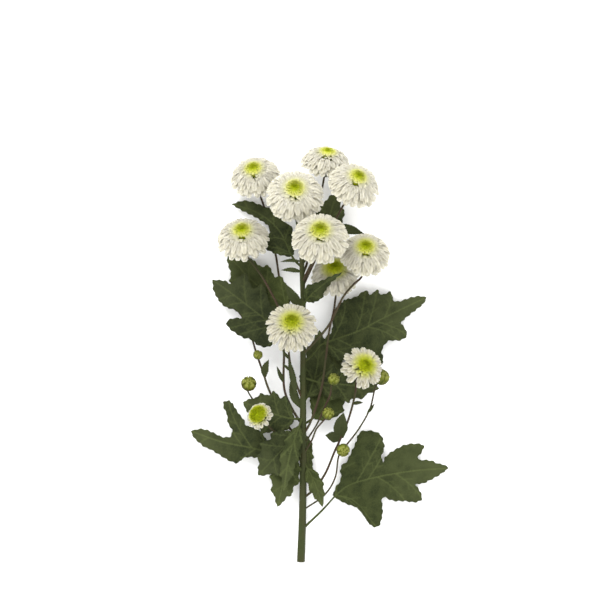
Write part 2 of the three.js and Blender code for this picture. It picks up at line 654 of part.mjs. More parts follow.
function add(name, solid, look, matrix = new THREE.Matrix4()) {
  const material = new THREE.MeshStandardMaterial({ ...COLOURS[look], metalness: 0 });
  const mesh = new THREE.Mesh(geometryOf(solid), material);
  mesh.name = name;
  matrix.decompose(mesh.position, mesh.quaternion, mesh.scale);
  spray.add(mesh);
}

const topBloom = BLOOMS.find((bloom) => bloom.from === undefined);
add('main_stem', Manifold.union([mainLimb(0), cupUnder(topBloom), ...MAIN_BRACTS.map(sprig)]), 'mainStem');

BLOOMS.forEach((bloom, index) => {
  add(`${bloom.name}_petals`, petalHead(bloom, index), 'petals', placementOf(bloom));
  add(`${bloom.name}_centre`, centreButton(bloom), 'centre', placementOf(bloom));
  if (bloom !== topBloom) add(`${bloom.name}_stem`, bloomStem(bloom), 'sideStem');
});

BUDS.forEach((bud) => {
  add(`${bud.name}_head`, budHead(bud), 'bud', placementOf(bud));
  if (bud.via) add(`${bud.name}_stem`, budStem(bud), 'sideStem');
});
add('twin_bud_stem', twinBudStem(TWIN_BUD_STEM), 'sideStem');

LEAVES.forEach((spec) => add(spec.name, leaf(spec), 'leaf'));

export default spray;
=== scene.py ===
import math

import bpy
import numpy as np
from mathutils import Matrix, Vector
from mathutils.geometry import delaunay_2d_cdt


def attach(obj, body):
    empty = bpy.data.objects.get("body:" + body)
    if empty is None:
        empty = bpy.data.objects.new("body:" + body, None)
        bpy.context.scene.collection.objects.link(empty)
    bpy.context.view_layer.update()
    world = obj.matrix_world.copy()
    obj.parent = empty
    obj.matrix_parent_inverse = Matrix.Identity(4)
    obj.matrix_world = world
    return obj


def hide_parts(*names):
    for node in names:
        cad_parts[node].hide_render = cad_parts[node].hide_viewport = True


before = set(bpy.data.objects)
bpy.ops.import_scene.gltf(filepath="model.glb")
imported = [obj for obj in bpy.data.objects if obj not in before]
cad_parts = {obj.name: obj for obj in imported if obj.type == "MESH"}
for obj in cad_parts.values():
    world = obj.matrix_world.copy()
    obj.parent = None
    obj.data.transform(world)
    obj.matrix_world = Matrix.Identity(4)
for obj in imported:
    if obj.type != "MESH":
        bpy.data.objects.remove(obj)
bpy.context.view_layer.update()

# Santini chrysanthemum: the fine petals, leaves and stems of one cut spray, lying on a table.
# Lengths are millimetres in the same places as the solids, and turn into metres in the meshes.

MM = 0.001
DECIMETRE = 100
FOOTPRINT_MIDDLE = np.array([13.33, -36.49, 0.14])
TABLE = FOOTPRINT_MIDDLE[2]
TABLE_GAP = 0.02
GOLDEN_TURN = math.pi * (3 - math.sqrt(5))
SHARP_ANGLE = 1.1
SEED = 7

# Stems: radii of the main stem, the side stems, the bud stems and the leaf stalks, and how far
# below its head a stem turns onto the axis of the head

CUT_RADIUS = 2.64
MAIN_TIP_RADIUS = 1.4
SIDE_STEM_RADIUS = 0.82
SIDE_STEM_TIP_RADIUS = 0.65
BUD_STEM_RADIUS = 0.56
PETIOLE_RADIUS = 0.9
PETIOLE_TIP_RADIUS = 0.3
SEAT_RUN = 4

MAIN_PATH = [
    (0.5, -177, 2.9), (1.5, -150, 6), (2, -120, 10), (2, -93, 14), (2, -67, 18), (2, -33, 21), (2, 0, 23.5),
    (1.3, 20, 24.5), (0.7, 37, 24), (-1.5, 52, 22.5), (-3, 59, 24), (-3.5, 64.8, 30.5),
]

# Sprigs: small leaves on a stem, each as its half width and the points of its midrib

MAIN_SPRIGS = [
    (1.3, (0.7, 26, 24.5), (-7, 26.5, 25.5), (-13.5, 25.5, 25)),
    (1.8, (0.9, 19, 24.5), (-6, 20.3, 25.2), (-13, 20, 24)),
    (3.6, (1.8, -5, 23.5), (-4, 1.5, 26), (-10, 11, 26.5)),
    (3.2, (1.5, -73, 17.4), (-4, -64, 16.5), (-5.5, -50, 16)),
]
SPRIG = {"outline": "lance", "fold": 0.1, "wave": 0}
SPRIG_TONE = 0.8

# Blooms: rim radius, lean of the axis from upright and its heading in degrees, middle of the rim
# circle, glow for how far the green of the eye spreads, else 1, dim for how far the white is darkened
# and yellowed, else 0, which is partly the creamier white of older blooms and partly painted shade
# on a bloom that lies in shadow, form where it isn't full, and the side stem: its base as a height y
# on the main stem, the points that it runs through, its sprigs, and the twig of a bud

BLOOMS = {
    "bloom_01": dict(
        radius=17.5, lean=40, heading=102, middle=(-29.9, 81.3, 14.4), dim=0.05, base=-85,
        via=[
            (-5.5, -73, 12.3), (-10.5, -60.5, 12.5), (-10.9, -34.7, 12.5), (-12.7, 0, 10), (-16.5, 30.7, 5),
            (-24, 62, 4.8),
        ],
        sprigs=[
            (1.6, (-10.6, -56, 12.5), (-13.5, -50, 14.5), (-15.7, -44.3, 15)),
            (3.5, (-12.2, -8, 10.7), (-9.7, 0, 10.6), (-12.3, 11.3, 10.6)),
        ],
    ),
    "bloom_02": dict(
        radius=17.4, lean=59, heading=82, middle=(17.2, 90.1, 15.85), glow=0.9, base=16,
        via=[(5, 26, 17), (8, 45, 9), (13, 66, 8.5)],
    ),
    "bloom_03": dict(
        radius=18.3, lean=40, heading=65, middle=(35.4, 75.2, 36.7), glow=0.9, dim=0.05, base=9,
        via=[(14, 35, 22), (26, 58, 22), (31, 67, 26)],
        sprigs=[(4, (18.5, 43.5, 22), (30, 47.5, 22.5), (43.5, 44.3, 19))],
    ),
    "bloom_04": dict(radius=20, lean=28, heading=90, middle=(-3.4, 68.2, 37), glow=0.92),
    "bloom_05": dict(
        radius=18.4, lean=41, heading=97, middle=(-37.9, 39.2, 22), glow=1.05, dim=0.11, base=-22,
        via=[(-10, -13, 22), (-17.4, 1.2, 21.5), (-25.3, 15.3, 17.5), (-33, 26, 13)],
    ),
    "bloom_06": dict(
        radius=19.6, lean=32, heading=92, middle=(13.4, 39.5, 57), glow=1.05, dim=0.16, base=12,
        via=[(7, 23, 34), (12.5, 30, 43)],
    ),
    "bloom_07": dict(
        radius=17.2, lean=35, heading=88, middle=(43.4, 29.2, 36), glow=1.25, dim=0.2, base=-36,
        via=[(8, -30, 25), (19.3, -16.7, 28), (29.2, 2.7, 31.5), (35.8, 10.5, 30.2), (41, 15.3, 27.6)],
    ),
    # bloom_08's dim is painted shade: it lies low, in the shadow of the heads round it
    "bloom_08": dict(
        radius=16.8, lean=38, heading=95, middle=(23.8, 15.2, 19), glow=2.2, dim=0.15, base=-91,
        via=[(7, -82, 16.5), (14.3, -59.3, 20), (17.5, -37, 19), (19.7, -20, 19), (22.9, -6, 14.5)],
    ),
    "bloom_09": dict(
        radius=18, lean=25, heading=87, middle=(-5.8, -19, 42), glow=1.63, dim=0.3, form="strappy", base=-68,
        via=[(-4, -52, 22.5), (-7.5, -36, 25.5)],
        sprigs=[
            (2.4, (-2.6, -63, 22), (-5.2, -50, 23.5), (-8, -38, 26)),
            (1.2, (-5, -48, 23), (-9, -45, 25), (-12, -42.5, 26)),
            (1.1, (-6.8, -40, 24.8), (-10, -36, 26.5), (-12.5, -33, 27.5)),
        ],
    ),
    "bloom_10": dict(
        radius=15, lean=22, heading=45, middle=(41, -45.6, 34), glow=2.8, dim=0.4, form="loose", base=-134,
        via=[
            (10, -127, 10), (17.1, -116.7, 10.5), (23.3, -102, 11), (27, -94, 11.5), (32, -82, 13),
            (35.5, -70, 15), (37.5, -60, 18),
        ],
        sprigs=[
            (1.4, (35.5, -70, 15), (39, -69, 16.5), (42.5, -69, 17)),
            (5.3, (27.5, -93, 11.6), (27.5, -84, 16), (29.3, -75.5, 18.5)),
            (4.2, (27, -94, 11.5), (22.5, -92, 13.5), (17, -91, 14)),
        ],
        twig=[(25.6, -97.3, 11.2), (28, -98.9, 13), (28.57, -98.8, 17.3)],
    ),
    "bloom_11": dict(
        radius=10.3, lean=30, heading=140, middle=(-26.2, -78, 28), glow=8, dim=0.35, form="half_open",
        base=-99, via=[(-10, -93, 17.8), (-20, -86, 18.7)],
    ),
}

# Forms of a head. Tips of the white petals run along a line of [share of the petals, out, up,
# droop in degrees, length, width], in rim radii, from the innermost petal to the rim. The tips
# of the eye's florets run along a line of [share, out, up]. Petals cup up at their sides, and
# those of a shut form lean inward on the upper side.

DOMED_EYE = [(0, 0.01, 0.69), (0.45, 0.12, 0.71), (0.75, 0.21, 0.705), (1, 0.31, 0.67)]
FORMS = {
    "full": dict(
        petals=210, florets=130, cup=0.25, eye=DOMED_EYE,
        tips=[
            (0, 0.33, 0.65, 0, 0.2, 0.09), (0.22, 0.455, 0.6, 14, 0.3, 0.11),
            (0.4, 0.59, 0.52, 27, 0.4, 0.13), (0.55, 0.73, 0.425, 40, 0.5, 0.15),
            (0.68, 0.87, 0.31, 50, 0.56, 0.18), (0.8, 0.955, 0.15, 52, 0.62, 0.21),
            (0.9, 0.99, 0.04, 30, 0.66, 0.25), (1, 1, -0.03, 10, 0.7, 0.28),
        ],
    ),
    "strappy": dict(
        petals=160, florets=130, cup=0.5, eye=DOMED_EYE,
        tips=[
            (0, 0.33, 0.65, 0, 0.2, 0.09), (0.22, 0.455, 0.6, 12, 0.3, 0.11),
            (0.4, 0.59, 0.52, 24, 0.4, 0.13), (0.56, 0.75, 0.41, 35, 0.5, 0.15),
            (0.7, 0.89, 0.28, 42, 0.56, 0.17), (0.82, 0.96, 0.12, 38, 0.62, 0.19),
            (0.92, 0.99, 0.03, 24, 0.66, 0.21), (1, 1, -0.03, 10, 0.7, 0.23),
        ],
    ),
    "loose": dict(
        petals=96, florets=110, cup=0.6,
        tips=[
            (0, 0.32, 0.62, 0, 0.2, 0.12), (0.2, 0.45, 0.56, 10, 0.3, 0.14),
            (0.4, 0.6, 0.47, 20, 0.4, 0.17), (0.6, 0.78, 0.33, 30, 0.5, 0.2),
            (0.78, 0.93, 0.14, 30, 0.55, 0.23), (1, 1, -0.02, 10, 0.6, 0.25),
        ],
        eye=[(0, 0.01, 0.64), (0.5, 0.15, 0.665), (0.8, 0.23, 0.655), (1, 0.3, 0.62)],
    ),
    "half_open": dict(
        petals=58, florets=150, cup=0.7, shut=0.06,
        tips=[
            (0, 0.6, 0.56, -25, 0.2, 0.2), (0.4, 0.76, 0.46, -10, 0.3, 0.24),
            (0.7, 0.92, 0.31, 5, 0.42, 0.27), (1, 1, 0.14, 8, 0.5, 0.3),
        ],
        eye=[(0, 0.02, 0.7), (0.4, 0.24, 0.71), (0.8, 0.46, 0.66), (1, 0.58, 0.58)],
    ),
}
PETAL_THICKNESS = 0.12
FLORET_THICKNESS = 0.18

# How far single petals and florets stray, as standard deviations: turn and roll in radians, droop
# in degrees, out and width as shares, and up in rim radii

PETAL_STRAY = dict(turn=0.06, out=0.03, up=0.005, droop=4, width=0.06, roll=0.04)
FLORET_STRAY = dict(turn=0.08, up=0.008, width=0.06, roll=0.1)

# The opening on a head's lower side, where inner petals are missing: the shares of the petals that
# it covers, how close to that side they stand, as a cosine, and the chance that one is there

OPENING = (0.05, 0.3)
OPENING_SIDE = 0.88
OPENING_LEFT = 0.4

# The green round an eye: how much nearer the eye the upper side counts, and where the glow ends,
# in rim radii

UPPER_SIDE_GAIN = 0.05
GLOW_END = 0.9

# The cup under a head: profile of [out, up] in rim radii, and rings of bracts, each as their
# number, root and tip. A bract bows outward by its push, near the root and near the tip, and the
# jitter is how unevenly a ring stands, in radians.

CUP_BASE = 0.42
CUP_PROFILE = [(0, -CUP_BASE), (0.08, -CUP_BASE), (0.22, -0.33), (0.31, -0.2), (0.32, -0.12), (0, -0.1)]
CUP_RINGS = [
    (9, (0.1, -0.41), (0.3, -0.23)), (12, (0.17, -0.37), (0.38, -0.15)), (15, (0.24, -0.3), (0.44, -0.08)),
]
CUP_BRACT = dict(push=(0.22, 0.16), width=0.17, jitter=0.05, cup=0.25, thick=0.25, tone=1.0)
BEND_PLACES = (0.35, 0.75)

# Buds: as the blooms, with flush for how brown the edges of the scales are, and rings of scales
# and then petal tips, each as their number, root, tip, width, and 1 where they are scales

BUDS = {
    "bud_a": dict(
        radius=4.8, lean=35, heading=80, middle=(-34.4, -56.3, 20), flush=0.9, base=-103,
        via=[(-10, -93, 9.5), (-22, -84, 9), (-30, -70, 10)],
    ),
    "bud_c": dict(
        radius=3.8, lean=40, heading=70, middle=(22.5, -53, 32), flush=0.2, base=-98,
        via=[(11, -84, 18), (16.4, -72, 23), (20.5, -62.3, 27)],
    ),
    "bud_d": dict(
        radius=3.8, lean=40, heading=60, middle=(18.7, -76, 29), flush=0.3, base=-104,
        via=[(8, -94, 18), (11, -86.5, 21)],
    ),
    "bud_e": dict(radius=4.2, lean=25, heading=-80, middle=(28.9, -100.6, 21.2), flush=0.1),
    "bud_f": dict(
        radius=5.1, lean=60, heading=60, middle=(54.5, -51.8, 21), flush=0.3, base=-142,
        via=[
            (17, -131, 8.5), (23.7, -119.7, 8.8), (26.5, -104, 8.5), (32.5, -96.3, 9.5), (39.3, -87.2, 12),
            (47, -73.3, 14),
        ],
        sprigs=[(1.2, (45.2, -76.5, 13.6), (47.8, -73, 15.2), (50.2, -69.5, 17))],
    ),
}
BUD_BASE = 0.95
BUD_PROFILE = [(0, -0.93), (0.45, -0.8), (0.8, -0.5), (0.94, -0.12), (0.88, 0.35), (0.6, 0.68), (0, 0.8)]
BUD_RINGS = [
    (7, (0.3, -0.9), (0.88, -0.2), 0.75, 1.0), (8, (0.5, -0.78), (0.99, 0.12), 0.7, 1.0),
    (9, (0.72, -0.56), (0.96, 0.46), 0.62, 1.0), (9, (0.9, -0.2), (0.7, 0.78), 0.5, 0.0),
    (6, (0.8, 0.2), (0.4, 0.93), 0.4, 0.0), (5, (0.5, 0.5), (0.12, 0.97), 0.34, 0.0),
]
BUD_SCALE = dict(push=(0.24, 0.2), jitter=0.12, cup=-0.22, thick=0.16)

# The stem of the two smallest buds, and which of its points the twig of the second starts from

TWIN_BUD_STEM = dict(
    base=-93,
    via=[
        (-6.7, -86.7, 12), (-21, -60.4, 11), (-24.9, -48.9, 10), (-29.5, -35.9, 9), (-32.7, -25.3, 8),
        (-40, -10, 6.5), (-49, -1, 6),
    ],
    twig_start=3,
    buds=[
        dict(radius=3, middle=(-50, 0, 6), lean=80, heading=130, flush=0.1),
        dict(radius=3, middle=(-28.4, -37, 13), lean=30, heading=60, flush=0.1),
    ],
    sprigs=[(2.8, (-23.8, -52, 10.3), (-23.5, -46, 13), (-21, -40, 13.5))],
)

# Leaf outlines from blade base to tip, one list a side, as [along, out] in thousandths of the
# blade's length. On the bowed ones a long side bulges by this share of its own length.

OUTLINES = {
    "wide": {
        "left": [
            (0, 15), (50, 50), (103, 63), (150, 147), (176, 220), (232, 272), (344, 300), (462, 270),
            (555, 290), (565, 220), (640, 255), (645, 182), (745, 184), (720, 87), (790, 65), (876, 59),
            (950, 37),
        ],
        "right": [
            (0, 15), (100, 200), (200, 170), (330, 380), (410, 330), (430, 233), (523, 190), (621, 242),
            (704, 233), (692, 102), (769, 82), (867, 61), (950, 44),
        ],
    },
    "threefold": {
        "left": [
            (0, 20), (60, 50), (126, 70), (157, 174), (201, 185), (252, 260), (306, 329), (350, 401),
            (402, 394), (456, 373), (500, 330), (505, 221), (462, 155), (469, 104), (490, 150), (554, 187),
            (663, 227), (752, 223), (812, 205), (795, 155), (735, 90), (857, 75), (913, 42), (962, 35),
        ],
        "right": [
            (0, 20), (100, 200), (300, 420), (400, 160), (600, 240), (760, 250), (700, 110), (846, 88),
            (923, 52),
        ],
    },
    "forked": {
        "left": [
            (0, 20), (96, 65), (235, 110), (317, 137), (365, 216), (474, 201), (584, 155), (709, 122),
            (840, 100),
        ],
        "right": [
            (0, 20), (90, 130), (180, 220), (340, 235), (451, 362), (504, 412), (656, 494), (733, 450),
            (624, 331), (501, 163), (506, 78), (617, 53), (713, 74), (822, 80), (905, 65),
        ],
    },
    "ragged": {
        "left": [
            (0, 30), (45, 255), (248, 276), (378, 324), (500, 330), (572, 293), (540, 210), (440, 131),
            (560, 120), (680, 169), (800, 150),
        ],
        "right": [
            (0, 30), (60, 120), (200, 190), (280, 150), (380, 220), (520, 290), (540, 180), (620, 210),
            (700, 280), (727, 264), (780, 79), (950, 30),
        ],
    },
    "angled": {
        "left": [(0, 30), (120, 180), (300, 300), (400, 220), (420, 50), (620, 60), (840, 50)],
        "right": [(0, 30), (150, 100), (330, 150), (380, 100), (560, 150), (620, 100), (860, 90)],
    },
    "plain": {
        "left": [
            (0, 30), (80, 150), (250, 280), (300, 220), (500, 310), (550, 210), (750, 220), (770, 140),
            (930, 70),
        ],
        "right": [
            (0, 30), (100, 170), (290, 290), (340, 210), (540, 300), (580, 200), (770, 200), (790, 120),
            (930, 60),
        ],
    },
    "drawn_out": {
        "left": [(0, 50), (100, 140), (260, 240), (400, 160), (600, 80), (800, 50)],
        "right": [(0, 50), (80, 160), (200, 200), (340, 240), (460, 150), (700, 80), (860, 50)],
    },
    "lance": {
        "left": [(0, 60), (350, 200), (700, 140)],
        "right": [(0, 60), (400, 200), (720, 130)],
    },
}
OUTLINE_PARTS = 1000
BOWED_OUTLINES = ("wide", "threefold", "forked", "ragged")
LOBE_BULGE = 0.12
LONG_SIDE = 0.13

# Leaves: base as a height y on the main stem, the points that the midrib runs through, length of
# stalk before the blade, outline where it isn't plain, half width where the outline is stretched
# to it, fold for the rise of each half per millimetre, else 0.05, wave for the height of its
# waves, else 0.5, how young, so pale, the leaf is, and how dim, which is painted shade over the
# whole leaf

LEAVES = {
    "leaf_01": dict(
        node="leaf_01_wide", base=-42, outline="wide", stalk=20, fold=-0.03, wave=1.2,
        via=[
            (9.1, -36.3, 14.5), (13.4, -30.8, 13), (26.3, -25.6, 11), (39.3, -21, 9.5), (54.8, -12.9, 7),
            (85.8, 2, 1.4),
        ],
    ),
    "leaf_02": dict(
        node="leaf_02_threefold", base=-155, outline="threefold", stalk=31, fold=0.01, young=0.15,
        via=[
            (14.2, -142.9, 5.5), (30.4, -126.7, 5.2), (46.6, -120.9, 4.8), (75.6, -115.6, 3.5),
            (100.8, -113.7, 1.4),
        ],
    ),
    "leaf_03": dict(
        node="leaf_03_forked", base=-108, outline="forked", stalk=22, fold=0.08,
        via=[(-10.1, -105.6, 12.5), (-30.3, -100.1, 11.4), (-52.7, -95.7, 7), (-74.1, -88.6, 1.8)],
    ),
    "leaf_04": dict(
        node="leaf_04_ragged", dim=0.35, base=-30, outline="ragged", stalk=16, wave=1.2,
        via=[(-12.1, -20.6, 19), (-30.2, -7.6, 17), (-45.4, 4, 13.5), (-59.2, 13.8, 8)],
    ),
    "leaf_05": dict(
        base=-8, half_width=16.5, stalk=12, fold=0.04, wave=0.8, young=0.5,
        via=[(-8.1, -4, 16.5), (-14.1, 0, 13.6), (-25.3, 7.1, 10.5), (-37.5, 18.2, 7), (-49.2, 31.4, 4.5)],
    ),
    "leaf_06": dict(
        base=22, outline="angled", stalk=12, fold=-0.08,
        via=[(-4, 27.2, 20), (-13.8, 46.5, 11), (-24.3, 56.2, 8), (-34.4, 61.3, 6.8), (-46.6, 64.8, 5.5)],
    ),
    "leaf_07": dict(
        base=24, half_width=14.5, stalk=8, wave=0.6,
        via=[(8.1, 32.2, 18), (16.1, 46.4, 15), (25.3, 73.8, 10)],
    ),
    "leaf_08": dict(
        base=-4, outline="drawn_out", half_width=7, stalk=5, fold=0.12, wave=0.4,
        via=[(6, 2, 29), (12, 7.5, 32.5), (19, 13, 34.5), (28.5, 18.7, 36)],
    ),
    "leaf_09": dict(
        base=-80, half_width=16, stalk=6, fold=0.03, wave=0.7,
        via=[(-6.1, -79.7, 16.3), (-20.2, -75.7, 13.8), (-38.4, -68.7, 12)],
    ),
    "leaf_10": dict(
        dim=0.2, base=-86, half_width=15, stalk=8, fold=0.04, wave=0.8,
        via=[(-3, -90.6, 21), (-14.1, -102.7, 20.5), (-28.3, -118.2, 12)],
    ),
    "leaf_11": dict(
        base=-101, half_width=11, stalk=6, wave=0.6, young=0.4,
        via=[(-5, -105.9, 15.2), (-10.1, -119.2, 13), (-15.2, -139.6, 9.5)],
    ),
    "leaf_12": dict(
        base=-108, half_width=6, stalk=6, young=0.4,
        via=[(6.6, -116.1, 13.5), (11.1, -126.2, 13.5), (15.2, -139.4, 12.5)],
    ),
    "leaf_13": dict(
        base=-84, half_width=15, stalk=9, fold=0.02, wave=0.3, young=0.4,
        via=[
            (9.1, -79.3, 12.5), (15.5, -72.3, 11), (21.2, -61.7, 9.5), (24.3, -48.6, 8.5), (21.3, -33.4, 8),
        ],
    ),
    "leaf_14": dict(
        base=-52, half_width=13, stalk=10, wave=0.8,
        via=[(12.1, -55, 16), (30.3, -57, 14), (53.6, -59.7, 9)],
    ),
    "leaf_15": dict(
        base=-78, half_width=7, stalk=8, young=0.15,
        via=[(-2, -88.5, 23), (-7, -104.5, 24.5), (-11.1, -128.9, 19)],
    ),
    "leaf_16": dict(
        base=-88, half_width=4.5, stalk=5, wave=0.3, young=0.3,
        via=[(4.5, -94, 10.5), (5.1, -107.2, 9), (7.1, -122.5, 8)],
    ),
    "leaf_17": dict(
        base=-70, half_width=12, stalk=6, fold=0.03,
        via=[(6.1, -62.6, 14.5), (10.6, -49.5, 12), (12.6, -36.4, 10), (13.2, -20.2, 9)],
    ),
}
BLADE_THICKNESS = 0.4
RIM_THICKNESS = 0.14
LARGE_BLADE = 30
CRUMPLE_WAVES = 7
CRUMPLE_HEIGHT = 0.1
CRUMPLED_LENGTH = 50

# The leaf stalk runs on under the blade by this share of its length, this far below the midrib

STALK_REACH = 0.35
STALK_DROP = 0.35

# Veins: width and depth from a blade of this length on, strength of the midrib, the side veins and
# their branches, and where a branch leaves its vein, to which hand

VEIN_WIDTH = 0.42
VEIN_DEPTH = 0.32
VEINED_LENGTH = 45
VEIN_STRENGTHS = (1.0, 0.8, 0.45)
BRANCHES = [(0.3, 1), (0.42, -1), (0.56, 1), (0.7, -1), (0.84, 1)]
BRANCH_ANGLE = math.radians(38)


# Curves and meshes

def unit(vectors):
    return vectors / np.linalg.norm(vectors, axis=-1, keepdims=True)


def smooth(value):
    value = np.clip(value, 0, 1)
    return value * value * (3 - 2 * value)


def turned_left(pairs):
    return np.stack([-pairs[..., 1], pairs[..., 0]], -1)


def angles_round(count):
    return np.linspace(0, 2 * math.pi, count, endpoint=False)


def run_along(points):
    """How far along a line each of its points is."""
    return np.concatenate([[0], np.cumsum(np.linalg.norm(np.diff(points, axis=0), axis=1))])


def read_at(wanted, run, rows):
    """Rows that are known along a run, read at other places on it."""
    return np.stack([np.interp(wanted, run, column) for column in rows.T], -1)


def spline(points, steps=24):
    """A centripetal Catmull-Rom curve through the points."""
    points = np.asarray(points, float)
    knots = [2 * points[0] - points[1], *points, 2 * points[-1] - points[-2]]
    part = np.linspace(0, 1, steps, endpoint=False)[:, None]
    pieces = []
    for before, start, end, after in zip(knots, knots[1:], knots[2:], knots[3:]):
        first, middle, last = (
            np.linalg.norm(b - a) ** 0.5 for a, b in ((before, start), (start, end), (end, after)))
        leave = (start - before) / first - (end - before) / (first + middle) + (end - start) / middle
        arrive = (end - start) / middle - (after - start) / (middle + last) + (after - end) / last
        pieces.append(
            (2 * part**3 - 3 * part**2 + 1) * start + (part**3 - 2 * part**2 + part) * leave * middle
            + (3 * part**2 - 2 * part**3) * end + (part**3 - part**2) * arrive * middle)
    return np.concatenate([*pieces, points[-1:]])


class Path:
    """A smooth curve through points, read by the share of its length."""

    def __init__(self, points):
        self.places = spline(points)
        self.run = run_along(self.places)
        self.length = self.run[-1]

    def at(self, part):
        return read_at(np.asarray(part) * self.length, self.run, self.places)

    def ahead(self, part, step=0.01):
        part = np.asarray(part)
        return unit(self.at(np.minimum(part + step, 1)) - self.at(np.maximum(part - step, 0)))


class Skin:
    """The vertices and faces of one piece, with named values for its material."""

    VALUES = ("along", "across", "tone", "shade", "vein", "flat_x", "flat_y", "reach", "deep", "dim")

    def __init__(self):
        self.points, self.faces, self.values = [], [], {name: [] for name in self.VALUES}
        self.count = 0

    def add(self, points, faces, **values):
        points = np.asarray(points, float).reshape(-1, 3)
        self.points.append(points)
        self.faces += [np.asarray(group, int) + self.count for group in faces]
        for name, stored in self.values.items():
            stored.append(np.broadcast_to(values.get(name, 0.0), len(points)))
        self.count += len(points)

    def mesh(self, name):
        mesh = bpy.data.meshes.new(name)
        points = (np.concatenate(self.points) - FOOTPRINT_MIDDLE) * MM
        corners = np.concatenate([group.ravel() for group in self.faces])
        sizes = np.concatenate([np.full(len(group), group.shape[1]) for group in self.faces])
        mesh.vertices.add(len(points))
        mesh.vertices.foreach_set("co", points.ravel())
        mesh.loops.add(len(corners))
        mesh.loops.foreach_set("vertex_index", corners)
        mesh.polygons.add(len(sizes))
        mesh.polygons.foreach_set("loop_start", np.concatenate([[0], np.cumsum(sizes)[:-1]]))
        mesh.polygons.foreach_set("loop_total", sizes)
        mesh.update(calc_edges=True)
        mesh.validate()
        mesh.shade_smooth()
        mesh.set_sharp_from_angle(angle=SHARP_ANGLE)
        for value, stored in self.values.items():
            attribute = mesh.attributes.new(value, "FLOAT", "POINT")
            attribute.data.foreach_set("value", np.concatenate(stored).astype(np.float32))
        return mesh


def grid_faces(rows, columns, closed=False):
    """Quads between rows of points, each row a ring where closed."""
    row, column = np.mgrid[0:rows - 1, 0:columns if closed else columns - 1]
    start = row * columns + column
    beside = row * columns + (column + 1) % columns
    return np.stack([start, beside, beside + columns, start + columns], -1).reshape(-1, 4)


def ring_solid(skin, rings, start, end, **values):
    """Closes a stack of rings, anticlockwise along the way, with a point at each end."""
    rows, columns = rings.shape[:2]
    side = np.arange(columns)
    beside = (side + 1) % columns
    last = (rows - 1) * columns
    first_point, last_point = rows * columns, rows * columns + 1
    caps = np.concatenate([
        np.stack([np.full(columns, first_point), beside, side], -1),
        np.stack([np.full(columns, last_point), last + side, last + beside], -1),
    ])
    points = np.concatenate([rings.reshape(-1, 3), [start, end]])
    skin.add(points, [grid_faces(rows, columns, closed=True), caps], **values)


def tube(skin, path, start_radius, end_radius, sides=14, step=2.2, ribs=5, rib=0.07, **values):
    """A tapering limb along a path, with lengthwise ribs as a share of its radius."""
    count = max(4, round(path.length / step))
    parts = np.linspace(0, 1, count + 1)
    middles, ahead = path.at(parts), path.ahead(parts)
    across = np.cross(ahead[0], (0, 0, 1) if abs(ahead[0][2]) < 0.9 else (1, 0, 0))
    frames = []
    for direction in ahead:
        across = unit(across - np.dot(across, direction) * direction)
        frames.append(across)
    across = np.array(frames)
    upward = np.cross(ahead, across)
    angle = angles_round(sides)
    radius = np.linspace(start_radius, end_radius, count + 1)[:, None]
    swollen = radius * (1 + rib * np.cos(ribs * angle))
    rings = (
        middles[:, None] + (swollen * np.cos(angle))[..., None] * across[:, None]
        + (swollen * np.sin(angle))[..., None] * upward[:, None])
    along = np.append(np.repeat(parts, sides), (0, 1)) * path.length / DECIMETRE
    ring_solid(skin, rings, middles[0], middles[-1], along=along, **values)


class Head:
    """Where a bloom or bud sits: its middle, and its axis turned from straight up."""

    def __init__(self, spec):
        tilt, turn = math.radians(spec["lean"]), math.radians(spec["heading"])
        self.axis = Vector((
            math.sin(tilt) * math.cos(turn), math.sin(tilt) * math.sin(turn), math.cos(tilt)))
        self.turn = np.array(Vector((0, 0, 1)).rotation_difference(self.axis).to_matrix())
        self.lower_side = turn + math.pi
        self.middle = np.array(spec["middle"], float)
        self.radius = spec["radius"]
        self.glow, self.dim = spec.get("glow", 1.0), spec.get("dim", 0.0)

    def place(self, points):
        return np.asarray(points) @ self.turn.T + self.middle

    def seat(self, below):
        return self.middle - below * np.array(self.axis)


def lathe(skin, head, profile, sides=24, **values):
    """A turned profile of [out, up] in rim radii, closed on the axis."""
    angle = angles_round(sides)
    out, up = np.array(profile[1:-1]).T[..., None] * head.radius
    rings = np.stack([out * np.cos(angle), out * np.sin(angle), up + 0 * angle], -1)
    ends = [(0, 0, profile[0][1] * head.radius), (0, 0, profile[-1][1] * head.radius)]
    ring_solid(skin, head.place(rings), *head.place(ends), **values)


# Petals, florets and scales: thin spoons along a curve in the plane of the head's axis

def spoon_shape(rows, base=0.42, round_from=0.76):
    """How wide a petal is along its length, with a round tip."""
    part = 1 - (1 - np.linspace(0, 1, rows)) ** 1.5
    ending = np.clip((part - round_from) / (1.03 - round_from), 0, 1)
    return part, (base + (1 - base) * smooth(part / 0.6)) * np.sqrt(1 - ending**2)


def pointed_shape(rows):
    """How wide a bract is along its length, with a pointed tip."""
    part = np.linspace(0, 1, rows)
    return part, 0.05 + 0.95 * np.sqrt(np.clip(1 - part, 0, 1)) * (0.75 + 0.25 * smooth(part / 0.4))


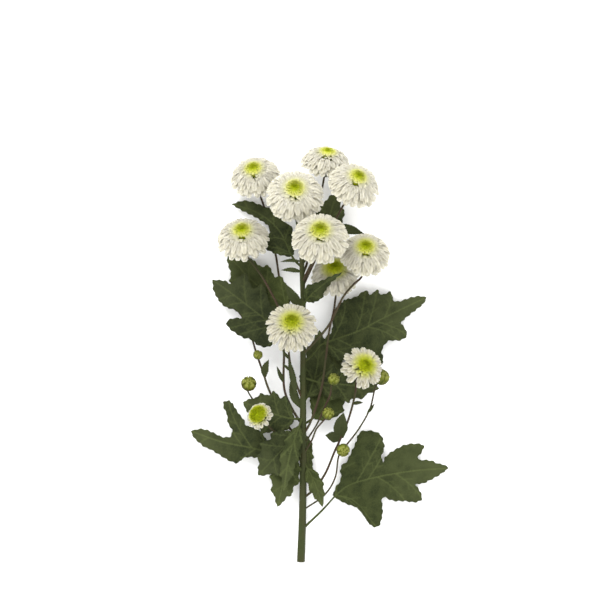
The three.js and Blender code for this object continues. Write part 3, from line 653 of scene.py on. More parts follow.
def spoons(
        skin, head, curve, turn, width, shape, cup, thick, columns=5, roll=0.0, groove=0.0, form=None,
        **values):
    """Many petals at once: curve is their four control points as [out, up] in millimetres."""
    part, wide = shape
    count, rows = len(turn), len(part)
    blend = np.stack([(1 - part)**3, 3 * part * (1 - part)**2, 3 * part**2 * (1 - part), part**3], -1)
    line = np.einsum("rk,nkd->nrd", blend, curve)
    outward = np.stack([np.cos(turn), np.sin(turn), 0 * turn], -1)
    sideways = np.stack([-np.sin(turn), np.cos(turn), 0 * turn], -1)
    upright = np.array([0.0, 0.0, 1.0])
    in_plane = lambda pair: pair[..., :1] * outward[:, None] + pair[..., 1:] * upright
    face = in_plane(turned_left(unit(np.gradient(line, axis=1))))
    roll = np.broadcast_to(roll, count)[:, None, None]
    edge = np.cos(roll) * sideways[:, None] + np.sin(roll) * face
    over = np.linspace(-1, 1, columns)
    half = (np.reshape(width, (-1, 1)) * wide / 2)[..., None]
    lift = half * np.reshape(cup, (-1, 1, 1)) * over**2 - groove * np.cos(1.5 * math.pi * over)
    middle_line = in_plane(line)[:, :, None]
    top = middle_line + (half * over)[..., None] * edge[:, :, None] + lift[..., None] * face[:, :, None]
    inner = top[:, 1:-1, 1:-1] - thick * (1 - over[1:-1, None]**2) * face[:, 1:-1, None]

    over_index = np.arange(rows * columns).reshape(rows, columns)
    under_index = over_index.copy()
    under_index[1:-1, 1:-1] = rows * columns + np.arange((rows - 2) * (columns - 2)).reshape(rows - 2, -1)
    quads = grid_faces(rows, columns)[:, ::-1]
    one = np.concatenate([quads, under_index.ravel()[quads[:, ::-1]]])
    each = rows * columns + (rows - 2) * (columns - 2)
    faces = (one[None] + (np.arange(count) * each)[:, None, None]).reshape(-1, 4)
    points = np.concatenate([top.reshape(count, -1, 3), inner.reshape(count, -1, 3)], axis=1)
    points = points.reshape(-1, 3)

    grid_part = np.broadcast_to(part[:, None], (rows, columns))
    grid_over = np.broadcast_to(over, (rows, columns))
    both = lambda grid: np.tile(np.concatenate([grid.ravel(), grid[1:-1, 1:-1].ravel()]), count)
    spread = {name: np.repeat(np.broadcast_to(value, count), each) for name, value in values.items()}
    if form:
        spread.update(depths(head, form, points))
    skin.add(head.place(points), [faces], along=both(grid_part), across=both(grid_over), **spread)


def depths(head, form, points):
    """How far points are from the axis, and how deep under the surface of the head, in rim radii.

    The distance is a little shorter on the upper side, and all round where the green glows further.
    """
    out, aside, up = points.T / head.radius
    reach = np.hypot(out, aside)
    surface = [line[1:3] for line in (*form["eye"], *form["tips"])]
    level = np.interp(reach, *np.transpose(surface))
    upper_side = head.lower_side - math.pi
    above = (out * math.cos(upper_side) + aside * math.sin(upper_side)) / reach
    reach = reach * (1 - UPPER_SIDE_GAIN * above)
    glow = 1 + (head.glow - 1) * (1 - smooth(reach / GLOW_END))
    return {"reach": reach / glow, "deep": level - up, "dim": head.dim}


def along_line(line, part):
    """Each column after the first, read at these shares of the first."""
    line = np.array(line)
    return read_at(part, line[:, 0], line[:, 1:]).T


def bloom_petals(head, form, draw):
    """The white petals of a head, the innermost first, and the receptacle that they grow from.

    Some of the inner ones are missing on the lower side, where the head is a little open, and
    their neighbours sink in there.
    """
    skin = Skin()
    stray = PETAL_STRAY
    count = form["petals"]
    number = np.arange(count)
    part = (number + 0.5) / count
    turn = GOLDEN_TURN * number + draw.normal(0, stray["turn"], count)
    below = np.cos(turn - head.lower_side)
    opening = (part > OPENING[0]) & (part < OPENING[1]) & (below > OPENING_SIDE)
    kept = ~opening | (draw.random(count) < OPENING_LEFT)
    part, turn, below, count = part[kept], turn[kept], below[kept], int(kept.sum())
    out, up, droop, length, width = along_line(form["tips"], part)
    out = np.minimum(out * (1 - np.abs(draw.normal(0, stray["out"], count))), 0.998)
    out = out * (1 - form.get("shut", 0.0) * (1 - below))
    tip = np.stack([out, up + draw.normal(0, stray["up"], count)], -1)
    droop = np.radians(droop + draw.normal(0, stray["droop"], count))
    back = np.stack([-np.cos(droop), np.sin(droop)], -1) * length[:, None]
    root = np.stack([0.08 + 0.12 * part, 0.12 - 0.2 * part], -1)
    curve = np.stack([root, tip + back, tip + 0.42 * back + (0, 0.008), tip], axis=1) * head.radius
    sunk = smooth((below - 0.85) / 0.12) * smooth((part - 0.1) / 0.1) * smooth((0.7 - part) / 0.2)
    curve[:, 1] += sunk[:, None] * (0.08 * head.radius, -0.18 * head.radius)
    width = head.radius * width * draw.normal(1, stray["width"], count)
    spoons(
        skin, head, curve, turn, width, spoon_shape(12), thick=PETAL_THICKNESS, columns=7,
        cup=form["cup"] * (0.3 + 0.5 * smooth((part - 0.2) / 0.5)),
        roll=draw.normal(0, stray["roll"], count), groove=0.03, form=form, shade=draw.random(count))
    # The receptacle is painted the dark deep green all over, as painted shade where it shows through gaps
    # between petals
    core = [(0, -0.12), (0.26, -0.12), (0.27, 0), (0.22, 0.3), (0, 0.42)]
    lathe(skin, head, core, reach=0.2, deep=0.5, shade=0.5)
    return skin


def bloom_eye(head, form, draw):
    """The short green florets in the middle of a head, curled in over each other."""
    skin = Skin()
    stray = FLORET_STRAY
    count = form["florets"]
    number = np.arange(count)
    part = (number + 0.5) / count
    turn = GOLDEN_TURN * number + draw.normal(0, stray["turn"], count)
    out, up = along_line(form["eye"], np.sqrt(part))
    tip = np.stack([out, up + draw.normal(0, stray["up"], count)], -1)
    root = np.stack([out * 0.7, 0 * out + 0.4], -1)
    push = np.stack([0.04 + 0.03 * part, 0.03 + 0.02 * part], -1)
    curve = np.stack([root, root + push * (1, 2.5), tip + push * (1, -1.2), tip], axis=1) * head.radius
    width = head.radius * (0.055 + 0.04 * part) * draw.normal(1, stray["width"], count)
    spoons(
        skin, head, curve, turn, width, spoon_shape(7, base=0.6, round_from=0.7), cup=0.6,
        thick=FLORET_THICKNESS, roll=draw.normal(0, stray["roll"], count), form=form,
        shade=draw.random(count))
    reach, height = form["eye"][-1][1:]
    core = [
        (0, 0.25), (reach * 0.7, 0.25), (reach * 0.9, height - 0.15), (reach * 0.6, height - 0.05),
        (0, height - 0.03),
    ]
    lathe(skin, head, core, along=1.0, reach=0.1, deep=0.05)
    return skin


def ring(skin, head, draw, count, root, tip, shape, push, width, jitter, start=0.0, **values):
    """Spoons in a ring round the axis, pushed outward from the chord between root and tip."""
    turn = angles_round(count) + draw.normal(0, jitter, count) + start
    root, tip = np.array(root), np.array(tip)
    chord = tip - root
    outward = -turned_left(chord)
    near, far = (root + place * chord + share * outward for place, share in zip(BEND_PLACES, push))
    curve = np.tile(np.array([root, near, far, tip]) * head.radius, (count, 1, 1))
    spoons(skin, head, curve, turn, width * head.radius, shape, shade=draw.random(count), **values)


def cup_bracts(skin, head, draw):
    """The green cup under a head, and the rows of bracts that clothe it."""
    lathe(skin, head, CUP_PROFILE, tone=1.0)
    for count, root, tip in CUP_RINGS:
        ring(skin, head, draw, count, root, tip, pointed_shape(7), **CUP_BRACT)


def bud_scales(skin, head, flush, draw):
    """A closed bud: a round core, rows of pointed bracts and the petal tips that show between."""
    lathe(skin, head, BUD_PROFILE, shade=0.5)
    for count, root, tip, width, bract in BUD_RINGS:
        shape = pointed_shape(8) if bract else spoon_shape(8, base=0.7)
        ring(skin, head, draw, count, root, tip, shape, width=width, start=bract, tone=bract, vein=flush,
             **BUD_SCALE)


# Leaves

def bowed(corners):
    """An outline with a point pushed out in the middle of each long side."""
    points = []
    for start, end in zip(corners, corners[1:]):
        points.append(start)
        if math.hypot(*(end - start)) >= LONG_SIDE:
            points.append((start + end) / 2 + LOBE_BULGE * turned_left(end - start))
    return np.array([*points, corners[-1]])


def rounded(points, turns=2):
    """Cuts the corners of an open line, and keeps its ends."""
    for _ in range(turns):
        cut = [points[0]]
        for start, end in zip(points, points[1:]):
            cut += [0.82 * start + 0.18 * end, 0.18 * start + 0.82 * end]
        points = np.array([*cut, points[-1]])
    return points


def resampled(points, step):
    """A line with even steps of about this length, and how far along it each point is."""
    run = run_along(points)
    wanted = np.linspace(0, run[-1], max(2, round(run[-1] / step)) + 1)
    return read_at(wanted, run, points), wanted


def inside(points, outline):
    """Which points lie in a closed outline."""
    x, y = points[:, 0, None], points[:, 1, None]
    x0, y0 = outline[:, 0], outline[:, 1]
    x1, y1 = np.roll(x0, -1), np.roll(y0, -1)
    crosses = (y0 > y) != (y1 > y)
    with np.errstate(divide="ignore", invalid="ignore"):
        left_of = x < (x1 - x0) * (y - y0) / (y1 - y0) + x0
    return (crosses & left_of).sum(1) % 2 == 1


def far_from(points, lines, distance):
    """Which points keep the distance from every point of the lines."""
    gaps = np.linalg.norm(points[:, None] - lines[None], axis=-1)
    return gaps.min(1) > distance


class Blade:
    """A lobed leaf blade on a midrib, with its stalk."""

    def __init__(self, midrib, spec):
        self.midrib = Path(midrib)
        self.stalk = spec.get("stalk", 0)
        self.length = self.midrib.length - self.stalk
        self.outline = spec.get("outline", "plain")
        self.fold = spec.get("fold", 0.05)
        self.wave = spec.get("wave", 0.5)
        widest = max(self.corners(side)[:, 1].max() for side in ("left", "right"))
        self.widen = spec["half_width"] / (widest * self.length) if "half_width" in spec else 1
        large = self.length > LARGE_BLADE
        self.fine = 0.9 if large else 0.6
        self.tooth = 0.75 if large else 0.25

    def corners(self, side):
        """The corners of one side and the tip, in blade lengths."""
        return np.array([*OUTLINES[self.outline][side], (OUTLINE_PARTS, 0)]) / OUTLINE_PARTS

    def place(self, flat, lift):
        """Points on the blade: along and across the midrib, and lifted from it."""
        along, across = flat.T
        part = np.clip((self.stalk + along) / self.midrib.length, 0, 1)
        ahead = self.midrib.ahead(part)
        left = unit(np.cross((0, 0, 1), ahead))
        normal = np.cross(ahead, left)
        beside = np.abs(across)
        ripple = self.wave * np.sin(4 * math.pi * along / self.length)
        ripple = ripple * np.minimum(1, beside / (0.2 * self.length))
        rise = np.where(along > 0, self.fold * beside + ripple, 0)
        return self.midrib.at(part) + left * across[:, None] + normal * (rise + lift)[:, None]

    def side(self, name):
        """One edge of the blade from base to tip in millimetres, with its teeth."""
        corners = self.corners(name)
        if self.outline in BOWED_OUTLINES:
            corners = bowed(corners)
        line, run = resampled(rounded(corners * (self.length, self.length * self.widen)), self.fine)
        outward = turned_left(unit(np.gradient(line, axis=0)))
        pitch = (run / (6.5 * self.tooth) + (0.3 if name == "left" else 0.7)) % 1
        fade = smooth(run / 4) * smooth((run[-1] - run) / 4)
        tooth = self.tooth * fade * (smooth(pitch / 0.7) - smooth((pitch - 0.7) / 0.3) - 0.6)
        return line + tooth[:, None] * outward

    def veins(self, outline):
        """The midrib, a side vein to each lobe and tooth, and short branches, as flat lines."""
        midrib = np.stack([np.linspace(0, self.length * 0.97, 60), np.zeros(60)], -1)
        lines = [(midrib, VEIN_STRENGTHS[0])]
        if self.outline == "lance":
            return lines
        for name, sign in (("left", 1), ("right", -1)):
            corners = self.corners(name)
            steps = np.diff(corners, axis=0)
            turning = steps[:-1, 0] * steps[1:, 1] - steps[:-1, 1] * steps[1:, 0]
            for (along, out), bend in zip(corners[1:-1], turning):
                if bend > -0.004 or out < 0.05:
                    continue
                start = max(0.015, along - 0.85 * out)
                part = np.linspace(0, 0.93, 40)[:, None]
                line = np.array((start, 0)) + part * (
                    np.array((along - start, out)) + (1 - part) * np.array((0.05, -0.04)))
                line = line * (self.length, sign * self.length * self.widen)
                lines.append((line, VEIN_STRENGTHS[1]))
                lines += [(branch, VEIN_STRENGTHS[2]) for branch in self.branches(line)]
        kept = []
        for line, strength in lines:
            within = inside(line, outline)
            stop = len(line) if within.all() else int(np.argmin(within[1:])) + 1
            if stop > 4:
                kept.append((line[:stop], strength))
        return kept

    def branches(self, line):
        total = np.linalg.norm(line[-1] - line[0])
        for place, hand in BRANCHES:
            middle = int(place * (len(line) - 1))
            ahead = unit(line[middle + 1] - line[middle - 1])
            turn = BRANCH_ANGLE * hand
            aside = np.array((
                ahead[0] * math.cos(turn) - ahead[1] * math.sin(turn),
                ahead[0] * math.sin(turn) + ahead[1] * math.cos(turn)))
            reach = 0.3 * total * (1.1 - place)
            yield line[middle] + np.linspace(0, 1, 12)[:, None] * aside * reach

    def build(self, skin, draw, tone=0.0):
        """A net of points over the outline, closer to the veins, and the blade made from it."""
        left, right = self.side("left"), self.side("right") * (1, -1)
        outline = np.concatenate([right, left[::-1][1:]])
        veins = self.veins(outline)
        centre = np.concatenate([resampled(line, self.fine)[0] for line, _ in veins])
        lows, highs = outline.min(0), outline.max(0)
        across, along = np.meshgrid(
            np.arange(lows[1], highs[1], self.fine), np.arange(lows[0], highs[0], self.fine * 0.87))
        across[1::2] += self.fine / 2
        net = np.stack([along.ravel(), across.ravel()], -1)
        net = net[inside(net, outline)]
        net = net[far_from(net, outline, self.fine * 0.55)]
        net = net[far_from(net, centre, self.fine * 0.5)]
        centre = centre[far_from(centre, outline, self.fine * 0.4)]
        flat = np.concatenate([outline, centre, net])
        corners, _, faces, *_ = delaunay_2d_cdt(
            [Vector(point) for point in flat], [], [list(range(len(outline)))], 1, 1e-4)
        flat = np.array([tuple(point) for point in corners])
        self.sheet(skin, flat, np.array([face for face in faces if len(face) == 3]), veins, draw, tone)

    def sheet(self, skin, flat, faces, veins, draw, tone):
        """Both faces of the blade, parted by its thickness, and the wall round its rim."""
        width = VEIN_WIDTH * min(1, self.length / VEINED_LENGTH)
        groove, vein = np.zeros(len(flat)), np.zeros(len(flat))
        for line, strength in veins:
            fine_line = resampled(line, 0.4)[0]
            gap = np.linalg.norm(flat[:, None] - fine_line[None], axis=-1).min(1)
            groove = np.maximum(groove, strength * np.exp(-((gap / (2.6 * width)) ** 2)))
            vein = np.maximum(vein, strength * np.clip(1.25 - gap / width, 0, 1))
        edges = np.concatenate([faces[:, (0, 1)], faces[:, (1, 2)], faces[:, (2, 0)]])
        _, which, counts = np.unique(
            np.sort(edges, axis=1), axis=0, return_index=True, return_counts=True)
        rim = edges[which[counts == 1]]
        thickness = np.full(len(flat), BLADE_THICKNESS)
        thickness[rim.ravel()] = RIM_THICKNESS
        middle = self.crumple(flat, draw) * min(1, self.length / CRUMPLED_LENGTH)
        middle = middle - VEIN_DEPTH * groove * min(1, self.length / VEINED_LENGTH)
        top = self.place(flat, middle + thickness / 2)
        bottom = self.place(flat, middle - thickness / 2)
        bottom[:, 2] = np.maximum(bottom[:, 2], TABLE + TABLE_GAP)
        top[:, 2] = np.maximum(top[:, 2], TABLE + TABLE_GAP + thickness)
        count = len(flat)
        wall = np.stack([rim[:, 1], rim[:, 0], rim[:, 0] + count, rim[:, 1] + count], -1)
        skin.add(
            np.concatenate([top, bottom]), [faces, faces[:, ::-1] + count, wall],
            along=np.tile(flat[:, 0] / self.length, 2), across=np.repeat((0.0, 1.0), count), tone=tone,
            shade=draw.random(), vein=np.tile(vein, 2), flat_x=np.tile(flat[:, 0], 2),
            flat_y=np.tile(flat[:, 1], 2))

    def crumple(self, flat, draw):
        """Low rolling bumps between the veins, from a few seeded waves."""
        height = np.zeros(len(flat))
        for _ in range(CRUMPLE_WAVES):
            heading, phase = draw.random() * math.pi, draw.random() * 2 * math.pi
            pitch = 6 + 9 * draw.random()
            run = flat @ (math.cos(heading), math.sin(heading))
            height += np.sin(2 * math.pi * run / pitch + phase) * CRUMPLE_HEIGHT
        return height


# Stems

main_path = Path(MAIN_PATH)


def main_point(y):
    """The point of the main stem's axis at a height y."""
    return read_at(y, main_path.places[:, 1], main_path.places)


def add_sprigs(skin, sprigs, draw):
    for half_width, *midrib in sprigs:
        Blade(midrib, {**SPRIG, "half_width": half_width}).build(skin, draw, SPRIG_TONE)


def head_stem(skin, spec, head, base, start_radius, end_radius, sink):
    """The stem from the main stem to a head, which it enters by sink."""
    seat = base * head.radius
    path = Path([main_point(spec["base"]), *spec["via"], head.seat(seat + SEAT_RUN), head.seat(seat - sink)])
    tube(skin, path, start_radius, end_radius)


def bloom_stem(spec, head, draw):
    skin = Skin()
    head_stem(skin, spec, head, CUP_BASE, SIDE_STEM_RADIUS, SIDE_STEM_TIP_RADIUS, sink=1)
    cup_bracts(skin, head, draw)
    add_sprigs(skin, spec.get("sprigs", []), draw)
    if "twig" in spec:
        tube(skin, Path(spec["twig"]), BUD_STEM_RADIUS, BUD_STEM_RADIUS)
    return skin


def bud_stem(spec, head, draw):
    skin = Skin()
    head_stem(skin, spec, head, BUD_BASE, BUD_STEM_RADIUS, BUD_STEM_RADIUS, sink=0.3)
    add_sprigs(skin, spec.get("sprigs", []), draw)
    return skin


def twin_stem(spec, twig_end, draw):
    skin = Skin()
    tube(skin, Path([main_point(spec["base"]), *spec["via"]]), SIDE_STEM_RADIUS, BUD_STEM_RADIUS)
    tube(skin, Path([spec["via"][spec["twig_start"]], twig_end]), BUD_STEM_RADIUS, BUD_STEM_RADIUS)
    add_sprigs(skin, spec["sprigs"], draw)
    return skin


# Materials

class Nodes:
    """Builds one material from its nodes."""

    def __init__(self, name, roughness, gloss=0.2):
        self.material = bpy.data.materials.new(name)
        self.material.use_nodes = True
        self.tree = self.material.node_tree
        self.skin = self.tree.nodes["Principled BSDF"]
        self.skin.inputs["Roughness"].default_value = roughness
        self.skin.inputs["Specular IOR Level"].default_value = gloss

    def node(self, kind, inputs=None, **settings):
        made = self.tree.nodes.new(kind)
        for name, value in settings.items():
            setattr(made, name, value)
        for name, value in (inputs or {}).items():
            self.feed(made.inputs[name], value)
        return made

    def feed(self, socket, value):
        if isinstance(value, bpy.types.NodeSocket):
            self.tree.links.new(value, socket)
        elif isinstance(value, tuple) and len(value) == 3 and socket.type == "RGBA":
            socket.default_value = (*value, 1)
        else:
            socket.default_value = value

    def value(self, name):
        return self.node("ShaderNodeAttribute", attribute_name=name).outputs["Fac"]

    def math(self, operation, *values, clamp=False):
        inputs = dict(enumerate(values))
        return self.node("ShaderNodeMath", inputs, operation=operation, use_clamp=clamp).outputs[0]

    def times(self, one, two):
        return self.math("MULTIPLY", one, two)

    def beside(self):
        """How far a point is from the middle line of its petal."""
        return self.math("ABSOLUTE", self.value("across"))

    def spread(self, value, low, high):
        """Maps low..high smoothly to 0..1."""
        inputs = {"Value": value, "From Min": low, "From Max": high}
        return self.node("ShaderNodeMapRange", inputs, interpolation_type="SMOOTHSTEP").outputs[0]

    def mix(self, part, one, two, blend="MIX"):
        made = self.node("ShaderNodeMix", data_type="RGBA", blend_type=blend)
        for index, value in ((0, part), (6, one), (7, two)):
            self.feed(made.inputs[index], value)
        return made.outputs[2]

    def noise(self, scale, vector=None):
        vector = vector or self.node("ShaderNodeTexCoord").outputs["Object"]
        inputs = {"Vector": vector, "Scale": scale, "Detail": 3.0}
        return self.node("ShaderNodeTexNoise", inputs).outputs["Fac"]

    def bump(self, height, distance):
        inputs = {"Height": height, "Distance": distance, "Strength": 1.0}
        self.feed(self.skin.inputs["Normal"], self.node("ShaderNodeBump", inputs).outputs[0])

    def soften(self, weight, radius, scale=0.002):
        self.skin.inputs["Subsurface Weight"].default_value = weight
        self.skin.inputs["Subsurface Radius"].default_value = radius
        self.skin.inputs["Subsurface Scale"].default_value = scale

    def finish(self, colour):
        self.feed(self.skin.inputs["Base Color"], colour)
        return self.material


# The green of the eye pales in steps of [start, end, colour]. Deep between petals near the eye it darkens to
# dark green, partly the green of the petal roots and partly painted shade in the gaps

WHITE = (0.655, 0.617, 0.485)
EYE_GREEN = (0.22, 0.29, 0.001)
PALER_GREENS = [
    (0.0, 0.16, (0.4, 0.455, 0.011)), (0.1, 0.29, (0.56, 0.565, 0.12)), (0.23, 0.42, (0.585, 0.56, 0.3)),
]
WHITE_REACH = (0.35, 0.58)
DEEP_REACH = (0.45, 0.65)
DEEP_GREEN_AND_SHADE = (0.05, 0.06, 0.007)
DIM_TINT = (0.35, 0.33, 0.22)


def spreading_green(nodes, white):
    """The green of the eye, which pales into the white of the petals around it."""
    reach, colour = nodes.value("reach"), EYE_GREEN
    for start, end, paler in (*PALER_GREENS, (*WHITE_REACH, white)):
        colour = nodes.mix(nodes.spread(reach, start, end), colour, paler)
    # Painted shade, with the green of the roots: darker the deeper a point lies under the surface of the
    # head, near the eye only
    inner = nodes.math("SUBTRACT", 1.0, nodes.spread(reach, *DEEP_REACH))
    shaded = nodes.times(nodes.spread(nodes.value("deep"), 0.1, 0.32), inner)
    colour = nodes.mix(shaded, colour, DEEP_GREEN_AND_SHADE)
    # dim darkens and yellows the whole bloom: the creamier white of older blooms, and painted shade on a
    # bloom that lies in shadow
    return nodes.mix(nodes.value("dim"), colour, DIM_TINT, "MULTIPLY")


def petal_material():
    """White petals, cream and then yellow green where they come close to the eye."""
    nodes = Nodes("petal_white", 0.6, 0.1)
    streak = nodes.math("SINE", nodes.times(nodes.value("across"), 11.0))
    vein = nodes.math("MULTIPLY_ADD", streak, 0.5, 0.5)
    white = nodes.mix(nodes.times(vein, 0.4), WHITE, (0.61, 0.573, 0.435))
    white = nodes.mix(nodes.times(nodes.value("shade"), 0.4), white, (0.6, 0.563, 0.42))
    # Painted shade: each petal is darker along its middle, the shade in its cupped channel, and stays bright
    # at its edges
    white = nodes.mix(nodes.spread(nodes.beside(), 0.8, 0.1), white, (0.5, 0.465, 0.335))
    nodes.bump(nodes.math("ADD", streak, nodes.noise(1500.0)), 0.00005)
    nodes.soften(0.6, (1.0, 0.95, 0.75))
    return nodes.finish(spreading_green(nodes, white))


def eye_material():
    """Lime florets, darker and greener towards the middle of the eye."""
    nodes = Nodes("floret_lime", 0.5, 0.03)
    colour = spreading_green(nodes, WHITE)
    root = nodes.mix(nodes.spread(nodes.value("along"), 0.4, 0.9), (0.18, 0.23, 0.002), colour)
    colour = nodes.mix(nodes.times(nodes.value("shade"), 0.3), root, (0.36, 0.41, 0.015))
    nodes.bump(nodes.noise(1800.0), 0.00005)
    nodes.soften(0.4, (0.8, 1.0, 0.2))
    return nodes.finish(colour)


def bud_material():
    """Green bracts with pale, sometimes brown edges, over yellow green petal tips."""
    nodes = Nodes("bud_green", 0.5, 0.08)
    along, bract = nodes.value("along"), nodes.value("tone")
    petal = nodes.mix(nodes.spread(along, 0.4, 1.0), (0.105, 0.124, 0.012), (0.186, 0.195, 0.043))
    scale = nodes.mix(nodes.value("shade"), (0.043, 0.059, 0.0074), (0.081, 0.096, 0.012))
    brim = nodes.mix(nodes.value("vein"), (0.167, 0.18, 0.05), (0.074, 0.031, 0.012))
    edge = nodes.math("MAXIMUM", nodes.spread(nodes.beside(), 0.55, 0.95), nodes.spread(along, 0.75, 1.0))
    nodes.bump(nodes.noise(1600.0), 0.00006)
    return nodes.finish(nodes.mix(bract, petal, nodes.mix(edge, scale, brim)))


def stem_material(name, low, high, flush, flush_amount):
    """A ribbed green stem with fine mottling, flushed with red brown."""
    nodes = Nodes(name, 0.5, 0.08)
    fine, broad = nodes.noise(900.0), nodes.noise(60.0)
    amount = nodes.times(nodes.spread(broad, 0.35, 0.65), flush_amount)
    bare = nodes.math("SUBTRACT", 1.0, nodes.value("tone"), clamp=True)
    colour = nodes.mix(nodes.times(amount, bare), nodes.mix(fine, low, high), flush)
    leafy = nodes.mix(fine, (0.022, 0.028, 0.009), (0.038, 0.045, 0.015))
    nodes.bump(fine, 0.00012)
    return nodes.finish(nodes.mix(nodes.spread(nodes.value("tone"), 0.3, 0.8), colour, leafy))


def leaf_material():
    """Dark matte leaf: paler veins and underside, a fine net of cells and broad mottling."""
    nodes = Nodes("leaf_green", 0.62, 0.06)
    flat = nodes.node("ShaderNodeCombineXYZ", {"X": nodes.value("flat_x"), "Y": nodes.value("flat_y")})
    cells = nodes.node(
        "ShaderNodeTexVoronoi", {"Vector": flat.outputs[0], "Scale": 0.55}, feature="DISTANCE_TO_EDGE")
    cell_edge = nodes.spread(cells.outputs["Distance"], 0.0, 0.12)
    mottle = nodes.noise(0.12, flat.outputs[0])
    grain = nodes.noise(1.6, flat.outputs[0])
    patches = nodes.spread(mottle, 0.3, 0.7)
    ageing = nodes.math("MULTIPLY_ADD", mottle, 0.5, nodes.value("along"))
    net = nodes.times(nodes.math("SUBTRACT", 1.0, cell_edge), 0.35)
    blade = nodes.mix(patches, (0.013, 0.0175, 0.006), (0.03, 0.037, 0.012))
    blade = nodes.mix(nodes.times(grain, 0.35), blade, (0.012, 0.017, 0.0055))
    blade = nodes.mix(net, blade, (0.045, 0.055, 0.019))
    young = nodes.mix(patches, (0.033, 0.043, 0.0094), (0.048, 0.061, 0.014))
    blade = nodes.mix(nodes.value("tone"), blade, young)
    blade = nodes.mix(nodes.times(nodes.spread(ageing, 0.45, 1.3), 0.7), blade, (0.055, 0.065, 0.025))
    blade = nodes.mix(nodes.times(nodes.value("vein"), 0.6), blade, (0.078, 0.094, 0.031))
    under = nodes.mix(0.5, blade, (0.086, 0.101, 0.047))
    colour = nodes.mix(nodes.value("across"), blade, under)
    nodes.bump(nodes.math("ADD", nodes.times(cell_edge, 0.6), grain), 0.00018)
    nodes.feed(nodes.skin.inputs["Roughness"], nodes.math("MULTIPLY_ADD", grain, 0.2, 0.5))
    # Painted shade: dim darkens the whole leaf towards blue grey
    return nodes.finish(nodes.mix(nodes.value("dim"), colour, (0.3, 0.3, 0.4), "MULTIPLY"))


def floor_material():
    nodes = Nodes("floor_pale", 0.9)
    return nodes.finish(nodes.mix(nodes.noise(3.0), (0.95, 0.95, 0.945), (0.97, 0.97, 0.965)))


MATERIALS = {
    "white_petals": petal_material(),
    "green_florets": eye_material(),
    "bud_skin": bud_material(),
    "main_stem_skin": stem_material(
        "main_stem_green", (0.022, 0.029, 0.009), (0.04, 0.05, 0.016), (0.042, 0.031, 0.014), 0.35),
    "side_stem_skin": stem_material(
        "side_stem_brown", (0.032, 0.032, 0.014), (0.056, 0.052, 0.024), (0.042, 0.023, 0.016), 0.85),
    "leaf_blade": leaf_material(),
}


# The spray

def add_object(name, data):
    made = bpy.data.objects.new(name, data)
    bpy.context.scene.collection.objects.link(made)
    return made


def show(name, skin, slot, *nodes):
    """Makes a piece that rides with the spray and stands for the solids of these nodes."""
    mesh = skin.mesh(name)
    mesh.materials.append(MATERIALS[slot])
    piece = add_object(name, mesh)
    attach(piece, "root")
    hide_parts(*nodes)


def add_main_stem(draw):
    skin = Skin()
    tube(skin, main_path, CUT_RADIUS, MAIN_TIP_RADIUS, sides=42, step=1.6, ribs=7, rib=0.045)
    cup_bracts(skin, Head(BLOOMS["bloom_04"]), draw)
    add_sprigs(skin, MAIN_SPRIGS, draw)
    show("main_stem_skin", skin, "main_stem_skin", "main_stem")


def add_bloom(name, spec, draw):
    head = Head(spec)
    form = FORMS[spec.get("form", "full")]
    show(f"{name}_head", bloom_petals(head, form, draw), "white_petals", f"{name}_petals")
    show(f"{name}_eye", bloom_eye(head, form, draw), "green_florets", f"{name}_centre")
    if "base" in spec:
        show(f"{name}_stalk", bloom_stem(spec, head, draw), "side_stem_skin", f"{name}_stem")


def add_bud(name, spec, draw):
    head = Head(spec)
    skin = Skin()
    bud_scales(skin, head, spec["flush"], draw)
    show(f"{name}_scales", skin, "bud_skin", f"{name}_head")
    if "base" in spec:
        show(f"{name}_stalk", bud_stem(spec, head, draw), "side_stem_skin", f"{name}_stem")


def add_twin_buds(spec, draw):
    heads = [Head(bud) for bud in spec["buds"]]
    stem = twin_stem(spec, heads[1].seat(0), draw)
    show("twin_bud_stalk", stem, "side_stem_skin", "twin_bud_stem")
    skin = Skin()
    for bud, head in zip(spec["buds"], heads):
        bud_scales(skin, head, bud["flush"], draw)
    show("twin_bud_scales", skin, "bud_skin", "twin_bud_stem")


def add_leaf(name, spec, draw):
    skin = Skin()
    blade = Blade([main_point(spec["base"]), *spec["via"]], spec)
    blade.build(skin, draw, spec.get("young", 0.0))
    stalk_end = (blade.stalk + STALK_REACH * blade.length) / blade.midrib.length
    stalk = Path(blade.midrib.at(np.linspace(0, stalk_end, 12)) - (0, 0, STALK_DROP))
    tube(skin, stalk, PETIOLE_RADIUS, PETIOLE_TIP_RADIUS, sides=10, step=1.5, rib=0, tone=0.3, vein=0.6)
    # dim, the leaf's painted shade, covers blade and stalk alike
    skin.values["dim"] = [np.full(skin.count, spec.get("dim", 0.0))]
    show(f"{name}_blade", skin, "leaf_blade", spec.get("node", name))


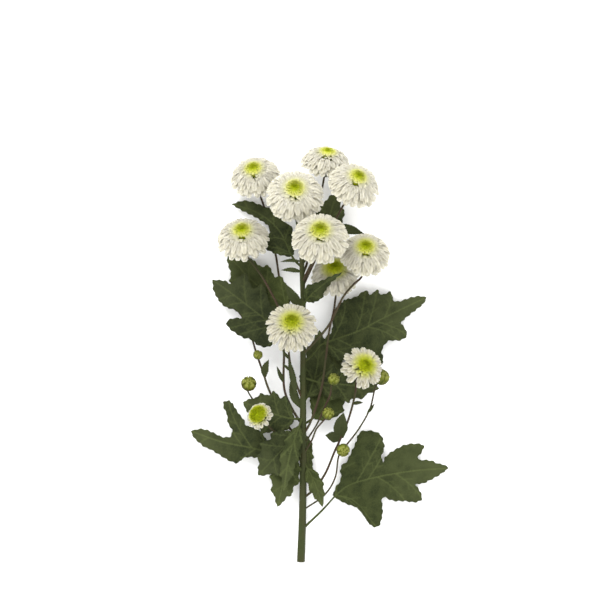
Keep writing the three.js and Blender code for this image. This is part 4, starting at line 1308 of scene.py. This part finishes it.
draw = np.random.default_rng(SEED)
add_main_stem(draw)
for name, spec in BLOOMS.items():
    add_bloom(name, spec, draw)
for name, spec in BUDS.items():
    add_bud(name, spec, draw)
add_twin_buds(TWIN_BUD_STEM, draw)
for name, spec in LEAVES.items():
    add_leaf(name, spec, draw)

# Floor, lights and camera, in metres. A light is its name, place, size and power in watts.

PHOTO_WIDTH = 0.4
PHOTO_PLANE = 0.035
LENS = 200.0
SENSOR = 36.0
FLOOR_REACH = 3.0
WORLD_STRENGTH = 1.6
LIGHTS = [("key", (-0.5, 1.3, 1.5), 1.1, 30), ("fill", (0.6, -1.1, 1.5), 1.2, 9)]


def add_floor():
    mesh = bpy.data.meshes.new("floor")
    corners = [(x * FLOOR_REACH, y * FLOOR_REACH, 0) for x, y in ((-1, -1), (1, -1), (1, 1), (-1, 1))]
    mesh.from_pydata(corners, [], [(0, 1, 2, 3)])
    mesh.materials.append(floor_material())
    floor = add_object("floor", mesh)


def add_light(name, place, size, power):
    light = bpy.data.lights.new(name, "AREA")
    light.shape = "DISK"
    light.size = size
    light.energy = power
    lamp = add_object(name, light)
    lamp.location = place
    lamp.rotation_euler = (-Vector(place)).to_track_quat("-Z", "Y").to_euler()


def add_world():
    world = bpy.data.worlds.new("studio")
    world.use_nodes = True
    background = world.node_tree.nodes["Background"]
    background.inputs["Color"].default_value = (1, 1, 1, 1)
    background.inputs["Strength"].default_value = WORLD_STRENGTH
    bpy.context.scene.world = world


def add_camera():
    """Looks straight down on the spray, with the photograph's frame across 0.4 m."""
    camera = bpy.data.cameras.new("camera")
    camera.lens = LENS
    camera.sensor_width = SENSOR
    camera.clip_end = 20
    eye = add_object("camera", camera)
    middle = -FOOTPRINT_MIDDLE * MM
    eye.location = (middle[0], middle[1], PHOTO_PLANE + PHOTO_WIDTH * LENS / SENSOR)
    bpy.context.scene.camera = eye


add_floor()
add_world()
for light in LIGHTS:
    add_light(*light)
add_camera()
bpy.context.scene.view_settings.view_transform = "Standard"
